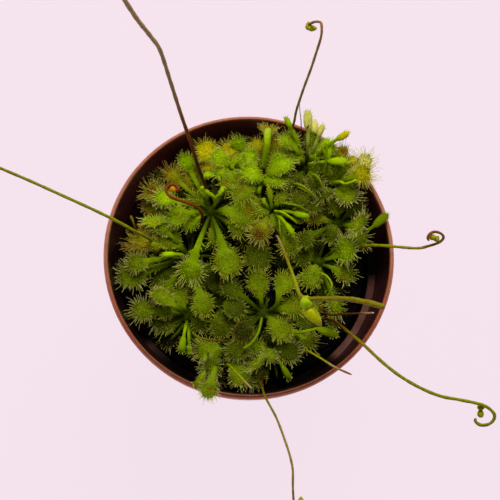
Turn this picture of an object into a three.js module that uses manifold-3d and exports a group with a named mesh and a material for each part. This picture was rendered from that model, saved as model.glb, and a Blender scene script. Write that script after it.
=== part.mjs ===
// A clump of spoon-leaved sundew in a small nursery pot.
// Millimetres, +Z up, origin at the centre of the pot's base.
import * as THREE from "three";
import { mergeVertices } from "three/addons/utils/BufferGeometryUtils.js";
import Module from "manifold-3d";

const wasm = await Module();
wasm.setup();
const { Manifold, Mesh: SolidMesh } = wasm;

// ---------------------------------------------------------------- driving dimensions
const GAP = 0.3;              // running gap between two pieces that touch in life
const POT = {
  rim: 30,                    // outer radius of the rolled rim
  mouth: 29.1,                // inner radius at the rim
  height: 52,
  foot: 21.5,                 // outer radius of the base
  wall: 0.9,
  floor: 1.4,                 // thickness of the base
  skirt: 4,                   // depth of the rolled rim
  lip: 0.8,                   // how far the rim's edge is rounded off
  ledge: 42,                  // height of the stacking ledge inside
  ledgeStep: 1.4,
  sides: 36,
};
const DRAIN = { count: 6, ring: 13.5, radius: 2.1, sides: 6 };
const SOIL = { edge: 36.5, crown: 5.5, reach: 26, lump: 0.45, rings: 5, sides: 24 };
// The root stock that carries a rosette, and the round core of the crown on top of it.
const STOCK = { radius: 1.0, depth: 4, sides: 5, core: 1.7, coreDrop: 0.6 };
const STALK = { sides: 5, depth: 5 };       // a flower stalk's section, and how deep it stands in the soil
const HOLE_TOP = 3;                         // how far a hole's cutter reaches above the soil
const LEAF = {
  long: 1.15,                 // blade length over blade width
  clubLong: 2.4,              // the same for a young rolled leaf
  clubWidth: 2,               // narrower blades than this are young rolled leaves
  broadWidth: 4,              // wider blades than this carry the most tentacles
  taper: 0.1,                 // how much broader the outline is towards the tip
  thick: 0.34,                // half the blade's thickness at its middle ring
  clubThick: 0.5,
  stalkHalf: 0.34,            // half the stalk's width at the crown
  stalkShare: 0.21,           // the same at the blade, as a share of the blade's width
  clubStalk: 0.34,            // half the width of a young leaf's stalk
  stalkThick: 0.34,           // half the stalk's thickness
  stalkParts: 2,
  shoulder: 0.55,             // angle from the stalk to the blade's first valley
  clubShoulder: 0.42,
};
const STALK_FILL = 0.6;       // the largest ball that fills a leaf's stalk
const TENTACLES = { broad: 7, narrow: 6, old: 5, club: 3, length: 1.4, stub: 0.12, raise: 0.15, sway: 0.7 };
const OLD = { count: 3, reach: 5, spread: 2.5, drop: 2.5, width: 3.4, widthSpread: 0.8, rise: -12 };
const SETTLE = { air: 0.3, step: 0.4, tries: 30, ownZone: 3.2 };   // leaves of one crown may meet in its zone
const GOLDEN_ANGLE = 2.399963;

// Each leaf: blade centre x, y, z, blade width, tip rise in degrees, roll in degrees,
// and the sideways bow of its stalk.
const ROSETTES = {
  rosette_a: { crown: [-8, 10.2, 46.5], leaves: [
    [-4.6, -1.2, 50, 4.8, -12, 0, 0], [-12, -3, 50, 4.2, -30, 0, 0], [-1.4, 8.6, 50.5, 5.2, -8, 0, 0],
    [-15.8, 17.2, 49, 3, 15, 15, 0], [-20, 14, 48, 3.3, 0, 0, 0], [-14.6, 8.4, 50, 3.5, 0, 0, 0],
    [-19.4, 7.4, 48, 3.8, -5, 45, 0], [-9.7, 13.8, 50.5, 1.2, 50, 0, 0],
    [-5.6, 13.5, 50.5, 1.2, 50, 0, 0], [-13.2, 20.6, 48, 3, 20, 0, 0]] },
  rosette_b: { crown: [-12.4, 0.8, 44.5], leaves: [
    [-24, -3.5, 46, 4.5, 0, 0, 0], [-23, -1.4, 48.5, 3.2, 0, 0, 0], [-16.8, 4.3, 47.5, 4.2, 0, 0, 0],
    [-22.9, 3, 45, 4, -5, 0, 0], [-16.6, 0.4, 48.5, 1.3, 10, 0, 0], [-18.2, -3.2, 44, 3.2, -10, 0, 0],
    [-17.4, -6.6, 45, 3.4, -10, -30, 0], [-9.6, -9.8, 48, 3.8, -5, 0, 0]] },
  rosette_c: { crown: [-12.6, -11.7, 43.5], leaves: [
    [-21.7, -11, 46, 3.5, 0, 0, 0], [-17.8, -8.8, 48, 3.8, -5, 35, 0],
    [-13.6, -17.9, 46, 1.5, -25, 0, 0], [-12.2, -18.8, 44, 1.2, -30, 0, 0],
    [-17, -13.7, 43, 2.2, -10, 0, 0], [-9.8, -14.6, 43, 3.2, 0, 0, 0]] },
  rosette_d: { crown: [3.1, -11.3, 45], leaves: [
    [2, -5.2, 47, 3.6, 5, 0, 0], [7.4, -5.5, 48, 3.7, -15, 0, -2.2], [9.2, -9.8, 46, 3.6, 0, 0, 0],
    [12.4, -12.8, 45, 3.4, 0, 0, 0], [6.4, -15.2, 48.5, 3.7, 0, 0, 0],
    [-2.2, -18.9, 46.5, 3.6, -5, 0, 1.8], [-1, -15.5, 47.5, 3.4, 0, 10, 0],
    [16.1, -15.7, 48.5, 1.9, 0, 0, -4.2], [-2.3, -12, 44, 4.2, 0, 0, 0],
    [12.4, -17, 45, 2.4, -10, 0, 0], [-3.5, -6.6, 48, 3.4, 5, 0, 0]] },
  rosette_e: { crown: [14.6, -0.5, 46], leaves: [
    [20.3, 1.6, 49, 4.3, 50, 0, 0], [20.1, -2.7, 46, 3.1, -15, 0, 0], [13, -4.1, 48.5, 3.6, 0, 0, 0],
    [18.2, -10.1, 47, 2.4, -10, 30, 0], [17.8, -12.6, 45.5, 2.1, -20, 30, 0],
    [16.2, -6.4, 44, 3.2, -5, 0, 0], [11.2, 0.6, 47, 3.1, 0, 0, 0]] },
  rosette_f: { crown: [2.8, 15.6, 47], leaves: [
    [6.6, 19.3, 52.5, 4.3, 10, 0, 0], [5.4, 16.4, 51, 3.5, 0, 0, 0], [3.8, 26, 53.5, 2.9, -50, 0, 0],
    [0.4, 17.2, 52, 3.4, 0, 0, 0], [-1.4, 13.2, 51, 3.4, 0, 0, 0], [8.4, 16.6, 48.5, 2.8, 10, 30, 0]] },
  rosette_g: { crown: [12.2, 19.4, 48.5], leaves: [
    [7.9, 26.9, 55, 1.2, 20, 0, 0], [12, 27.4, 56, 1.9, 20, 0, 0], [14.6, 18.8, 53, 3, 5, 60, 0],
    [16.2, 22, 54, 2.8, 20, -20, 0], [19.2, 24.4, 55.5, 1.6, -20, 40, 0],
    [18.2, 19.2, 54.5, 1.8, 10, 0, 0], [8.9, 23.8, 52.5, 3, 10, 0, 0],
    [12.8, 24.2, 54, 2.8, 35, 30, 0], [14.7, 25.6, 55, 1.3, 20, 0, 0], [9.4, 21.6, 50.5, 3.2, 5, 0, 0],
    [13.6, 15.4, 50.8, 2.8, 0, 0, 0], [9.6, 16.4, 50, 2.6, 0, 20, 0],
    [19.2, 21.4, 52.5, 2.2, 20, 0, 0]] },
  rosette_h: { crown: [17.2, 14.8, 48], leaves: [
    [23, 16.2, 53.5, 3.2, 15, 35, 0], [20.2, 12.8, 52, 3.6, 20, 0, 0],
    [23.7, 19.2, 51.5, 2.8, 20, 10, 0], [15.8, 13, 51, 2.8, 10, 30, 0],
    [10.4, 11.7, 51.5, 2.6, 0, 10, 0], [13.9, 10.9, 50, 2.8, 0, 20, 0],
    [17.8, 18, 51.2, 2.8, 20, 0, 0], [21.2, 19.4, 52.6, 2.4, 30, 0, 0]] },
  rosette_i: { crown: [18.9, 7.7, 47], leaves: [
    [22.8, 6.2, 51, 3.8, 60, 0, 0], [27, 6.9, 53, 1.8, 15, 0, 0], [17.2, 5, 49.5, 2.6, 0, 0, 0],
    [13.8, 9, 48, 3.2, 0, 0, 0], [12, 3.6, 50, 2.8, -20, 10, 0], [18.4, 11.4, 48, 2.8, 0, 0, 0],
    [22.2, 11.2, 48, 2.6, 10, 20, 0]] },
  rosette_j: { crown: [4.7, 10.2, 46.5], leaves: [
    [2.3, 5.2, 50, 3.4, -8, 0, 0], [2, 0.6, 47, 4.7, -5, 0, 0], [4.3, 12.6, 51.5, 1.3, 15, 0, 0],
    [8.3, 5.4, 51.5, 1.3, -10, 0, 0], [8.2, 2.8, 49, 3.3, -5, 0, 1], [10.6, 8.6, 51, 1.5, 0, 20, 0],
    [10.8, 12, 48, 3, 0, 0, 0], [-0.3, 5, 46, 3.2, -5, 0, 0]] },
  rosette_k: { crown: [-5.6, -19.3, 43.5], leaves: [
    [-8.4, -19.6, 47.5, 3.7, 0, 0, 0], [-8, -23, 45, 2.5, -10, 0, 0],
    [-9.9, -26.4, 53, 1.6, -5, 0, -3.5], [-8.1, -28.3, 54.2, 3, -10, 0, 0],
    [-2.1, -20.6, 46, 3.5, 0, 0, 0], [-1.9, -24.2, 45, 3.6, -5, 0, 0],
    [-6.6, -24.2, 42.5, 2.4, -10, 0, 0]] },
  rosette_l: { crown: [-5.7, -8.8, 44.5], leaves: [
    [-3, -10.6, 47, 3.4, 0, 0, 0], [-5.7, -14, 45, 3.5, 0, 0, 0], [-10.4, -6.4, 45, 2.6, 0, 0, 0],
    [-7.4, -4.8, 45, 2.8, 5, 0, 0]] },
  rosette_m: { crown: [-4.2, 19, 46.5], leaves: [
    [-4.2, 15.8, 50, 3.3, -5, 0, 0], [0, 21, 51, 2.7, 20, 0, 0], [-2.2, 24, 50, 3, 45, 0, 0],
    [-8.8, 22.4, 50, 4.1, 30, 0, 0], [-6.2, 20.6, 51.5, 2.9, 10, 0, 0],
    [-7.9, 17.8, 49, 1.5, 10, 0, 0], [1.8, 24.4, 47.5, 3, 5, 0, 0], [-2.4, 17, 49, 2.6, 0, 0, 0]] },
  rosette_n: { crown: [4.6, -18.8, 43.5], leaves: [
    [2.2, -22, 47.5, 3.3, 0, 60, 0], [0.9, -24.3, 45, 3.4, -10, 0, 0],
    [7.7, -23.6, 45.5, 1.4, -25, 0, 0], [8, -19.4, 46, 3.8, 0, 0, 0], [10.6, -17, 43.5, 2.6, 5, 0, 0],
    [4.9, -15.2, 44.5, 2.4, 0, 20, 0]] },
};

// Each flower stalk: foot x, y in the soil, then the points of its path above it, and its radius.
const STALKS = {
  stalk_tall: { red: true, radius: 0.38, foot: [-7.6, 13], points: [
    [-8, 13.2, 47], [-9.4, 14.2, 54], [-10.9, 15.8, 63], [-12.3, 17.6, 72], [-14, 19.6, 82], [-15.7, 22, 92],
    [-17.2, 23.9, 101], [-18.6, 23.9, 107], [-20.4, 23.7, 114], [-22.1, 23.9, 121], [-23.6, 24.6, 127],
    [-24.2, 25.9, 130], [-23.4, 27.4, 130.6], [-22, 27, 129.2]] },
  stalk_red: { red: true, radius: 0.32, foot: [-9.5, 7.5], points: [
    [-9.7, 7.8, 46], [-9.9, 8.7, 50.8], [-11, 9.6, 52.8], [-12.9, 10.1, 53.8], [-15.1, 10.7, 54.3],
    [-16.5, 11.3, 54.5], [-17.2, 12.3, 54.5], [-17, 13.3, 54.6], [-16, 13.8, 54.7], [-15.1, 13.5, 54.9],
    [-14.8, 12.7, 55.2], [-15.2, 12, 55.4]] },
  stalk_west: { radius: 0.32, foot: [-20, 4], points: [
    [-20.1, 3.7, 46], [-21.2, 3.1, 52.5], [-23.8, 3.3, 57.5], [-26.2, 4.1, 60], [-31, 5.8, 63],
    [-37.7, 8.4, 65], [-43.5, 10.8, 66], [-49.2, 13, 67], [-52.4, 14.4, 67], [-54.6, 15.9, 66.2],
    [-55, 17.4, 65.4], [-53.9, 18, 64.8]] },
  stalk_north: { radius: 0.26, foot: [7, 23.1], points: [
    [7.1, 23.9, 44], [8.6, 26, 50.5], [9.1, 27.1, 56], [9.1, 27.3, 62], [9.3, 27.3, 68], [9.8, 28, 74],
    [10.6, 29.3, 80], [11.2, 30.7, 84], [11.9, 32.7, 87], [12, 34.2, 88], [11.8, 35.3, 88], [11, 35.9, 87],
    [10.3, 36.3, 85.4], [9.6, 36.4, 83.6]] },
  stalk_east: { radius: 0.3, foot: [22.6, 3], points: [
    [23.1, 2.4, 46], [23.9, 1.4, 53.5], [26.1, 0.4, 58], [28.8, -0.3, 60], [31.7, -0.8, 61], [33.7, -0.8, 61],
    [35.3, -0.4, 61], [36.9, 0.1, 61], [37.9, 0.6, 61.4], [38.3, 1.2, 62], [37.7, 1.8, 62.6], [36.4, 2, 63.2],
    [35.3, 1.5, 63.5], [34.9, 0.8, 63.3], [35.2, 0.2, 62.9]] },
  stalk_southeast: { radius: 0.32, foot: [15.4, -11.6], points: [
    [16, -12.4, 46], [17.6, -14.6, 53], [19.8, -17.4, 57], [22, -20.1, 60], [25.2, -24, 63], [28.5, -26.9, 64],
    [32.2, -29.2, 64.5], [36.1, -30.7, 64], [40.1, -31.3, 63], [43.8, -31.9, 62], [45.8, -32.6, 61.5],
    [47.1, -33.8, 61], [47, -34.9, 60.5], [46, -35.7, 60.3], [44.6, -35.8, 60], [43.7, -35.1, 59.6],
    [43.8, -34.4, 59.4]] },
  stalk_south: { radius: 0.26, foot: [3.6, -22.8], points: [
    [3.5, -23.2, 42], [3.1, -24.6, 47], [2.5, -26.7, 52.2], [2.8, -29.8, 56.6], [4.9, -34.6, 60],
    [6.3, -39.1, 63], [7.2, -42.2, 64], [7.7, -44.8, 64], [7.8, -48, 62.6], [8.2, -50.9, 60.4],
    [9.3, -52.4, 58.4], [10.6, -51.8, 57.2]] },
  stalk_middle: { radius: 0.34, foot: [5.7, 5.5], points: [
    [5.7, 5.2, 46], [5.9, 2.6, 54], [7.1, -4.6, 64], [8, -9.7, 70], [8.5, -13, 74], [9.6, -14.2, 75.6],
    [11.8, -14.5, 77], [14.5, -15, 79.6], [17, -15.5, 81.6], [20, -16.5, 83.6], [22.8, -17.6, 85]] },
  stub_east: { radius: 0.24, foot: [14.8, -8.8], points: [
    [15, -9.8, 46], [15.1, -11.8, 50.6], [16.5, -12.9, 52.7], [19, -12.9, 53.7], [21.8, -12.8, 54],
    [24.7, -12.7, 54]] },
  stub_south: { radius: 0.24, foot: [11.2, -20.2], points: [
    [11.2, -20, 44], [11.7, -20, 50.5], [13.7, -21.7, 54], [16.7, -24.2, 57], [19.8, -26, 59]] },
  stub_southwest: { radius: 0.26, foot: [-4.9, -22.4], points: [
    [-4.9, -22.4, 43], [-4.3, -22.8, 50], [-2.6, -25.1, 54], [-1, -27.1, 56], [0.3, -28.6, 57]] },
  stub_west: { radius: 0.24, foot: [-11.3, -15.3], points: [
    [-11.4, -15.5, 45], [-11.5, -16.2, 49.4], [-10.4, -17.4, 51.5], [-8.6, -18.1, 52.5], [-6.4, -18.4, 53],
    [-4, -18.4, 52.6]] },
};

// Each bud cluster: its stalk, then its buds as centre x, y, z, half length, half width and the long axis.
const BUDS = {
  buds_tall: { stalk: "stalk_tall", buds: [
    [-22, 26.2, 129.4, 1.1, 0.8, 1, -1, -1], [-22.6, 25.4, 130, 0.9, 0.7, 1, 0, 0]] },
  bud_red: { stalk: "stalk_red", buds: [[-15.8, 12.5, 55.1, 0.75, 0.6, 1, -1, 0]] },
  buds_west: { stalk: "stalk_west", buds: [
    [-53.6, 17.2, 65, 0.9, 0.65, 1, 0, 0], [-53.2, 16.2, 65.6, 0.8, 0.6, 0, 1, 0]] },
  buds_north: { stalk: "stalk_north", buds: [
    [10.6, 35.6, 84.6, 0.9, 0.6, 1, 0, 0], [9.9, 36.4, 84, 0.9, 0.6, 0, 1, 0]] },
  buds_east: { stalk: "stalk_east", buds: [
    [36.1, 1, 62.6, 0.8, 0.6, 1, 0, 0], [36.9, 0.9, 62.1, 0.7, 0.6, 1, 1, 0]] },
  buds_southeast: { stalk: "stalk_southeast", buds: [
    [44.7, -32.4, 60.6, 0.8, 0.65, 1, 0, 0], [44.7, -33.5, 59.9, 0.9, 0.65, 0, 1, 0]] },
  buds_south: { stalk: "stalk_south", buds: [
    [10, -51.2, 58, 0.9, 0.65, 1, 0, 0], [9.6, -50.2, 58.8, 0.8, 0.6, 0, 1, 0]] },
  buds_middle: { stalk: "stalk_middle", buds: [
    [9.5, -14.7, 74.7, 1.1, 1, 1, 0, 0], [10.9, -17.1, 74.2, 2.6, 1, 1.8, -2, -0.5]] },
};

const MATERIALS = {
  pot: { color: 0x8a4a38, roughness: 0.35, metalness: 0 },
  soil: { color: 0x14100d, roughness: 0.9, metalness: 0 },
  leaf: { color: 0x7c9a12, roughness: 0.45, metalness: 0 },
  oliveStalk: { color: 0x7d7a1c, roughness: 0.5, metalness: 0 },
  redStalk: { color: 0x7a3a20, roughness: 0.5, metalness: 0 },
  bud: { color: 0x93b01a, roughness: 0.5, metalness: 0 },
};

// ---------------------------------------------------------------- small helpers
const UP = new THREE.Vector3(0, 0, 1);
const point = ([x, y, z]) => new THREE.Vector3(x, y, z);
const CIRCLE = 2 * Math.PI;
const onCircle = (radius, share) => [radius * Math.cos(CIRCLE * share), radius * Math.sin(CIRCLE * share)];
const sequence = (length, make) => Array.from({ length }, (_, index) => make(index));

// A repeatable draw between 0 and 1.
function draw(seed) {
  const wave = Math.sin(seed * 12.9898) * 43758.5453;
  return wave - Math.floor(wave);
}

// Turns one direction towards another by an angle in degrees.
function turned(from, towards, angle) {
  const turn = THREE.MathUtils.degToRad(angle);
  return from.clone().multiplyScalar(Math.cos(turn)).addScaledVector(towards, Math.sin(turn));
}

function solidOf(geometry) {
  geometry.deleteAttribute("normal");
  geometry.deleteAttribute("uv");
  const merged = mergeVertices(geometry, 1e-4);
  return new Manifold(new SolidMesh({
    numProp: 3,
    vertProperties: new Float32Array(merged.attributes.position.array),
    triVerts: new Uint32Array(merged.index.array),
  }));
}

function geometryOf(solid) {
  const mesh = solid.getMesh();
  const geometry = new THREE.BufferGeometry();
  geometry.setAttribute("position", new THREE.BufferAttribute(mesh.vertProperties, 3));
  geometry.setIndex(new THREE.BufferAttribute(mesh.triVerts, 1));
  return geometry;
}

function facetedGeometry(vertices, faces) {
  const geometry = new THREE.BufferGeometry();
  geometry.setFromPoints(vertices);
  geometry.setIndex(faces.flat());
  return geometry;
}

function uprightPeg(x, y, low, high, radius, sides) {
  const peg = new THREE.CylinderGeometry(radius, radius, high - low, sides);
  peg.rotateX(Math.PI / 2);
  peg.translate(x, y, (low + high) / 2);
  return peg;
}

// The radius of a polygon that leaves a running gap all round a peg.
const boreRadius = (radius, sides) => (radius + GAP) / Math.cos(Math.PI / sides);

// ---------------------------------------------------------------- pot and soil
function potInnerRadius(z) {
  const low = POT.foot - POT.wall;
  const high = POT.mouth - (z < POT.ledge ? POT.ledgeStep : 0);
  return low + (high - low) * Math.min(1, (z - POT.floor) / (POT.height - POT.floor));
}

function potProfile() {
  const { rim, mouth, height, foot, wall, floor, skirt, ledge, ledgeStep, lip } = POT;
  const outerAt = (z) => [potInnerRadius(z) + wall, z];
  const inside = potInnerRadius(ledge);
  return [
    [0, 0], [foot, 0], outerAt(ledge - 1), outerAt(ledge + 1),
    outerAt(height - skirt), [rim - lip / 4, height - skirt], [rim, height - lip],
    [rim - lip / 2, height], [mouth, height], [inside, ledge],
    [inside - ledgeStep, ledge - ledgeStep], [foot - wall, floor], [0, floor],
  ].map(([radius, z]) => new THREE.Vector2(radius, z));
}

function makePot() {
  const shell = new THREE.LatheGeometry(potProfile(), POT.sides);
  shell.rotateX(Math.PI / 2);
  return sequence(DRAIN.count, (hole) => {
    const [x, y] = onCircle(DRAIN.ring, hole / DRAIN.count);
    return solidOf(uprightPeg(x, y, -POT.floor, 2 * POT.floor, DRAIN.radius, DRAIN.sides));
  }).reduce((pot, hole) => pot.subtract(hole), solidOf(shell));
}

// The mound: a low dome with gentle lumps.
function soilHeight(x, y) {
  const share = Math.hypot(x, y) / SOIL.reach;
  const lumps = Math.sin(0.45 * x + 0.8) * Math.cos(0.4 * y - 0.3);
  return SOIL.edge + SOIL.crown * Math.max(0, 1 - share * share) + SOIL.lump * lumps;
}

// Rings of points from the top's middle to its edge, then the edge and the middle of the underside.
function moundGeometry() {
  const { rings, sides } = SOIL;
  const topRadius = potInnerRadius(SOIL.edge) - GAP;
  const floorRadius = potInnerRadius(POT.floor) - GAP;
  const ringOf = (radius, height) => sequence(sides, (side) => {
    const [x, y] = onCircle(radius, side / sides);
    return new THREE.Vector3(x, y, height ?? soilHeight(x, y));
  });
  const vertices = [
    new THREE.Vector3(0, 0, soilHeight(0, 0)),
    ...sequence(rings, (ring) => ringOf((topRadius * (ring + 1)) / rings)).flat(),
    ...ringOf(floorRadius, POT.floor),
    new THREE.Vector3(0, 0, POT.floor),
  ];
  const bottom = vertices.length - 1;
  const faces = sequence(sides, (side) => {
    const next = (side + 1) % sides;
    const bands = sequence(rings, (ring) => {
      const [inner, outer] = [1 + ring * sides, 1 + (ring + 1) * sides];
      return [[inner + side, outer + side, outer + next], [inner + side, outer + next, inner + next]];
    }).flat();
    return [[0, 1 + side, 1 + next], ...bands, [bottom, 1 + rings * sides + next, 1 + rings * sides + side]];
  }).flat();
  return facetedGeometry(vertices, faces);
}

const makeSoil = (holes) => (
  holes.reduce((soil, hole) => soil.subtract(solidOf(hole)), solidOf(moundGeometry())));

// ---------------------------------------------------------------- leaves
function tentacleCount(width, club, old) {
  if (club) return TENTACLES.club;
  if (old) return TENTACLES.old;
  return width < LEAF.broadWidth ? TENTACLES.narrow : TENTACLES.broad;
}

// A leaf's frame: along points from stalk to tip, across to its left, over away from the soil.
function leafFrame(crown, [x, y, z, width, rise, roll, bow], old) {
  const away = new THREE.Vector3(x - crown.x, y - crown.y, 0).normalize();
  const side = UP.clone().cross(away);
  const along = turned(away, UP, rise);
  const across = turned(side, along.clone().cross(side), roll);
  const club = width < LEAF.clubWidth;
  return {
    centre: new THREE.Vector3(x, y, z), away, side, along, across, over: along.clone().cross(across),
    width, bow, club, rays: tentacleCount(width, club, old),
    half: (width * (club ? LEAF.clubLong : LEAF.long)) / 2,
  };
}

// The stalk: a cubic curve that leaves the crown steeply, levels out and runs into the blade's base.
function stalkCurve(crown, { centre, away, side, along, half, bow }) {
  const start = crown.clone().addScaledVector(away, 0.5).addScaledVector(UP, -0.4);
  const end = centre.clone().addScaledVector(along, -0.93 * half);
  const reach = start.distanceTo(end);
  const first = start.clone().lerp(end, 0.33).addScaledVector(UP, 0.16 * reach).addScaledVector(side, bow);
  const second = end.clone().addScaledVector(along, -0.33 * reach).addScaledVector(side, 0.6 * bow);
  return new THREE.CubicBezierCurve3(start, first, second, end);
}

// Half the stalk's width, which grows with the square of the way along it.
function stalkHalfWidth({ club, width }, share) {
  if (club) return LEAF.clubStalk;
  return LEAF.stalkHalf + (LEAF.stalkShare * width - LEAF.stalkHalf) * share * share;
}

// A point of the blade: angle 0 is the tip, share 1 the margin, over the height,
// and beyond the way past the margin.
function bladePoint(frame, angle, share, over, beyond = 0) {
  const broad = 1 + LEAF.taper * Math.cos(angle);
  return frame.centre.clone()
    .addScaledVector(frame.along, Math.cos(angle) * (frame.half * share + beyond))
    .addScaledVector(frame.across, Math.sin(angle) * ((frame.width / 2) * share * broad + beyond))
    .addScaledVector(frame.over, over);
}

// Balls that fill the leaf, as x, y, z and radius, to keep it clear of its neighbours.
function leafFill(crown, frame) {
  const ball = ({ x, y, z }, radius) => [x, y, z, radius];
  const spokes = frame.club ? 4 : 10;
  const inBlade = (spoke, share) => bladePoint(frame, (CIRCLE * (spoke + 0.5)) / spokes, share, 0);
  const margin = sequence(spokes, (spoke) => ball(inBlade(spoke, 0.92), 0.3));
  const middle = sequence(frame.club ? 0 : spokes / 2, (pair) => ball(inBlade(2 * pair, 0.5), 0.5));
  const stalk = stalkCurve(crown, frame);
  const steps = 8;
  const length = sequence(steps + 1, (step) => (
    ball(stalk.getPoint(step / steps), Math.min(STALK_FILL, stalkHalfWidth(frame, step / steps)))));
  return [ball(frame.centre, 0.5), ...margin, ...middle, ...length];
}

const isClear = (fill, others, air) => fill.every(([x, y, z, radius]) => others.every((other) => {
  const least = radius + other[3] + air;
  return (x - other[0]) ** 2 + (y - other[1]) ** 2 + (z - other[2]) ** 2 >= least * least;
}));

// Inside the pot's mouth or above its rim, and above the soil.
const isFree = (fill) => fill.every(([x, y, z, radius]) => {
  const overRim = z - radius > POT.height + GAP;
  const inMouth = Math.hypot(x, y) + radius + GAP < potInnerRadius(z);
  return (overRim || inMouth) && z - radius > soilHeight(x, y) + GAP;
});

// Older leaves lie low round each crown, a golden angle apart.
const oldLeaves = (crown, seed) => sequence(OLD.count, (index) => {
  const turn = (index + 6 * draw(seed + 0.7)) * GOLDEN_ANGLE;
  const reach = OLD.reach + OLD.spread * draw(seed + index * 3.1);
  const width = OLD.width + OLD.widthSpread * draw(seed + index * 5.3);
  const [x, y] = [crown.x + reach * Math.cos(turn), crown.y + reach * Math.sin(turn)];
  return { shape: [x, y, crown.z - OLD.drop, width, OLD.rise, 0, 0], old: true };
});

// What the leaves of one rosette have to keep clear of: everything of another name.
const foreignTo = (name, entries) => (
  entries.filter((entry) => entry.name !== name).flatMap(({ fill }) => fill));

// Lifts to try in turn: none, down a step, up a step, down two and so on.
const LIFTS = sequence(SETTLE.tries, (step) => SETTLE.step * Math.ceil(step / 2) * (step % 2 ? -1 : 1));

// Every leaf in turn, the highest first and the old ones last, sinks or rises until it is clear.
function settleLeaves(fixed) {
  const waiting = Object.entries(ROSETTES).flatMap(([name, { crown, leaves }], order) => {
    const heart = point(crown);
    const young = leaves.map((shape) => ({ shape, old: false }));
    return [...young, ...oldLeaves(heart, order + 1)].map((leaf) => ({ ...leaf, name, heart }));
  });
  waiting.sort((one, other) => one.old - other.old || other.shape[2] - one.shape[2]);
  const settled = [];
  for (const { name, heart, shape, old } of waiting) {
    const outside = (fill) => fill.filter(([x, y]) => Math.hypot(x - heart.x, y - heart.y) > SETTLE.ownZone);
    const obstacles = [...foreignTo(name, settled), ...foreignTo(name, fixed)];
    const kin = outside(settled.filter((leaf) => leaf.name === name).flatMap(({ fill }) => fill));
    const [x, y, z, ...rest] = shape;
    const leaves = LIFTS.values().map((lift) => {
      const frame = leafFrame(heart, [x, y, z + lift, ...rest], old);
      return { name, heart, frame, fill: leafFill(heart, frame) };
    });
    const clear = leaves.find(({ fill }) => (
      isFree(fill) && isClear(fill, obstacles, SETTLE.air) && isClear(outside(fill), kin, 0)));
    if (clear) settled.push(clear);
  }
  return settled;
}

// The balls along a tentacle of a given length and rise.
const tentacleFill = (frame, angle, [length, rise]) => [0.3, 0.65, 1].map((share) => {
  const { x, y, z } = bladePoint(frame, angle, 1, TENTACLES.raise + rise * share, length * share);
  return [x, y, z, 0.28 - 0.2 * share];
});

// A marginal tentacle keeps its full length where the air is free, and is a stub elsewhere.
function settleTentacles(settled, fixed) {
  const grown = [];
  for (const leaf of settled) {
    const { frame, name } = leaf;
    const others = [...foreignTo(name, settled), ...foreignTo(name, fixed), ...foreignTo(name, grown)];
    leaf.tips = sequence(frame.rays, (ray) => {
      const angle = Math.PI * (-1 + (2 * (ray + 0.5)) / frame.rays);
      if (frame.club) return bladePoint(frame, angle, 1, 0);
      const lean = 0.5 * (draw(frame.centre.x * 3.7 + ray) - 0.4);
      const { length, stub, raise, sway } = TENTACLES;
      const choices = [[length, lean], [length, lean + sway], [length, lean - sway], [0.6 * length, lean]];
      const isOpen = (fill) => isFree(fill) && isClear(fill, others, SETTLE.air);
      const open = choices.find((choice) => isOpen(tentacleFill(frame, angle, choice)));
      const chosen = open ?? [stub * length, 0];
      grown.push({ name, fill: tentacleFill(frame, angle, chosen) });
      return bladePoint(frame, angle, 1, raise + chosen[1], chosen[0]);
    });
  }
}

// The stalk's four-sided sections, each as left, top, right and bottom corner.
const stalkSections = (frame, stalk) => sequence(LEAF.stalkParts, (part) => {
  const share = part / LEAF.stalkParts;
  const place = stalk.getPoint(share);
  const heading = stalk.getTangent(share);
  const left = frame.across.clone().addScaledVector(heading, -frame.across.dot(heading)).normalize();
  const over = heading.clone().cross(left);
  const half = stalkHalfWidth(frame, share);
  const corner = (direction, reach) => place.clone().addScaledVector(direction, reach);
  const thick = LEAF.stalkThick;
  return [corner(left, half), corner(over, thick), corner(left, -half), corner(over, -thick)];
});

// The blade's margin: valleys between the tentacles, with a wide gap where the stalk joins.
const bladeValleys = (frame) => sequence(frame.rays + 1, (index) => {
  const shoulder = frame.club ? LEAF.clubShoulder : LEAF.shoulder;
  const ends = { 0: -Math.PI + shoulder, [frame.rays]: Math.PI - shoulder };
  return bladePoint(frame, ends[index] ?? Math.PI * (-1 + (2 * index) / frame.rays), 0.98, 0.1);
});

const bladeMiddles = (frame, over) => sequence(frame.rays, (index) => (
  bladePoint(frame, Math.PI * (-1 + (2 * (index + 0.5)) / frame.rays), 0.7, over)));

// One face of the blade: a fan in the middle and a star of points round it.
function bladeFaces(rays, { valleys, tips, middles, centre, neck }) {
  const last = rays - 1;
  return [
    ...sequence(rays, (ray) => [
      [valleys[ray], tips[ray], middles[ray]],
      [tips[ray], valleys[ray + 1], middles[ray]],
    ]).flat(),
    ...sequence(last, (ray) => [
      [middles[ray], valleys[ray + 1], middles[ray + 1]],
      [centre, middles[ray], middles[ray + 1]],
    ]).flat(),
    [middles[last], valleys[rays], neck], [middles[last], neck, centre],
    [centre, neck, middles[0]], [neck, valleys[0], middles[0]],
  ];
}

// The walls between two sections of four corners.
const sleeveFaces = (near, far) => sequence(4, (corner) => {
  const next = (corner + 1) % 4;
  return [[near[corner], near[next], far[next]], [near[corner], far[next], far[corner]]];
}).flat();

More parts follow.
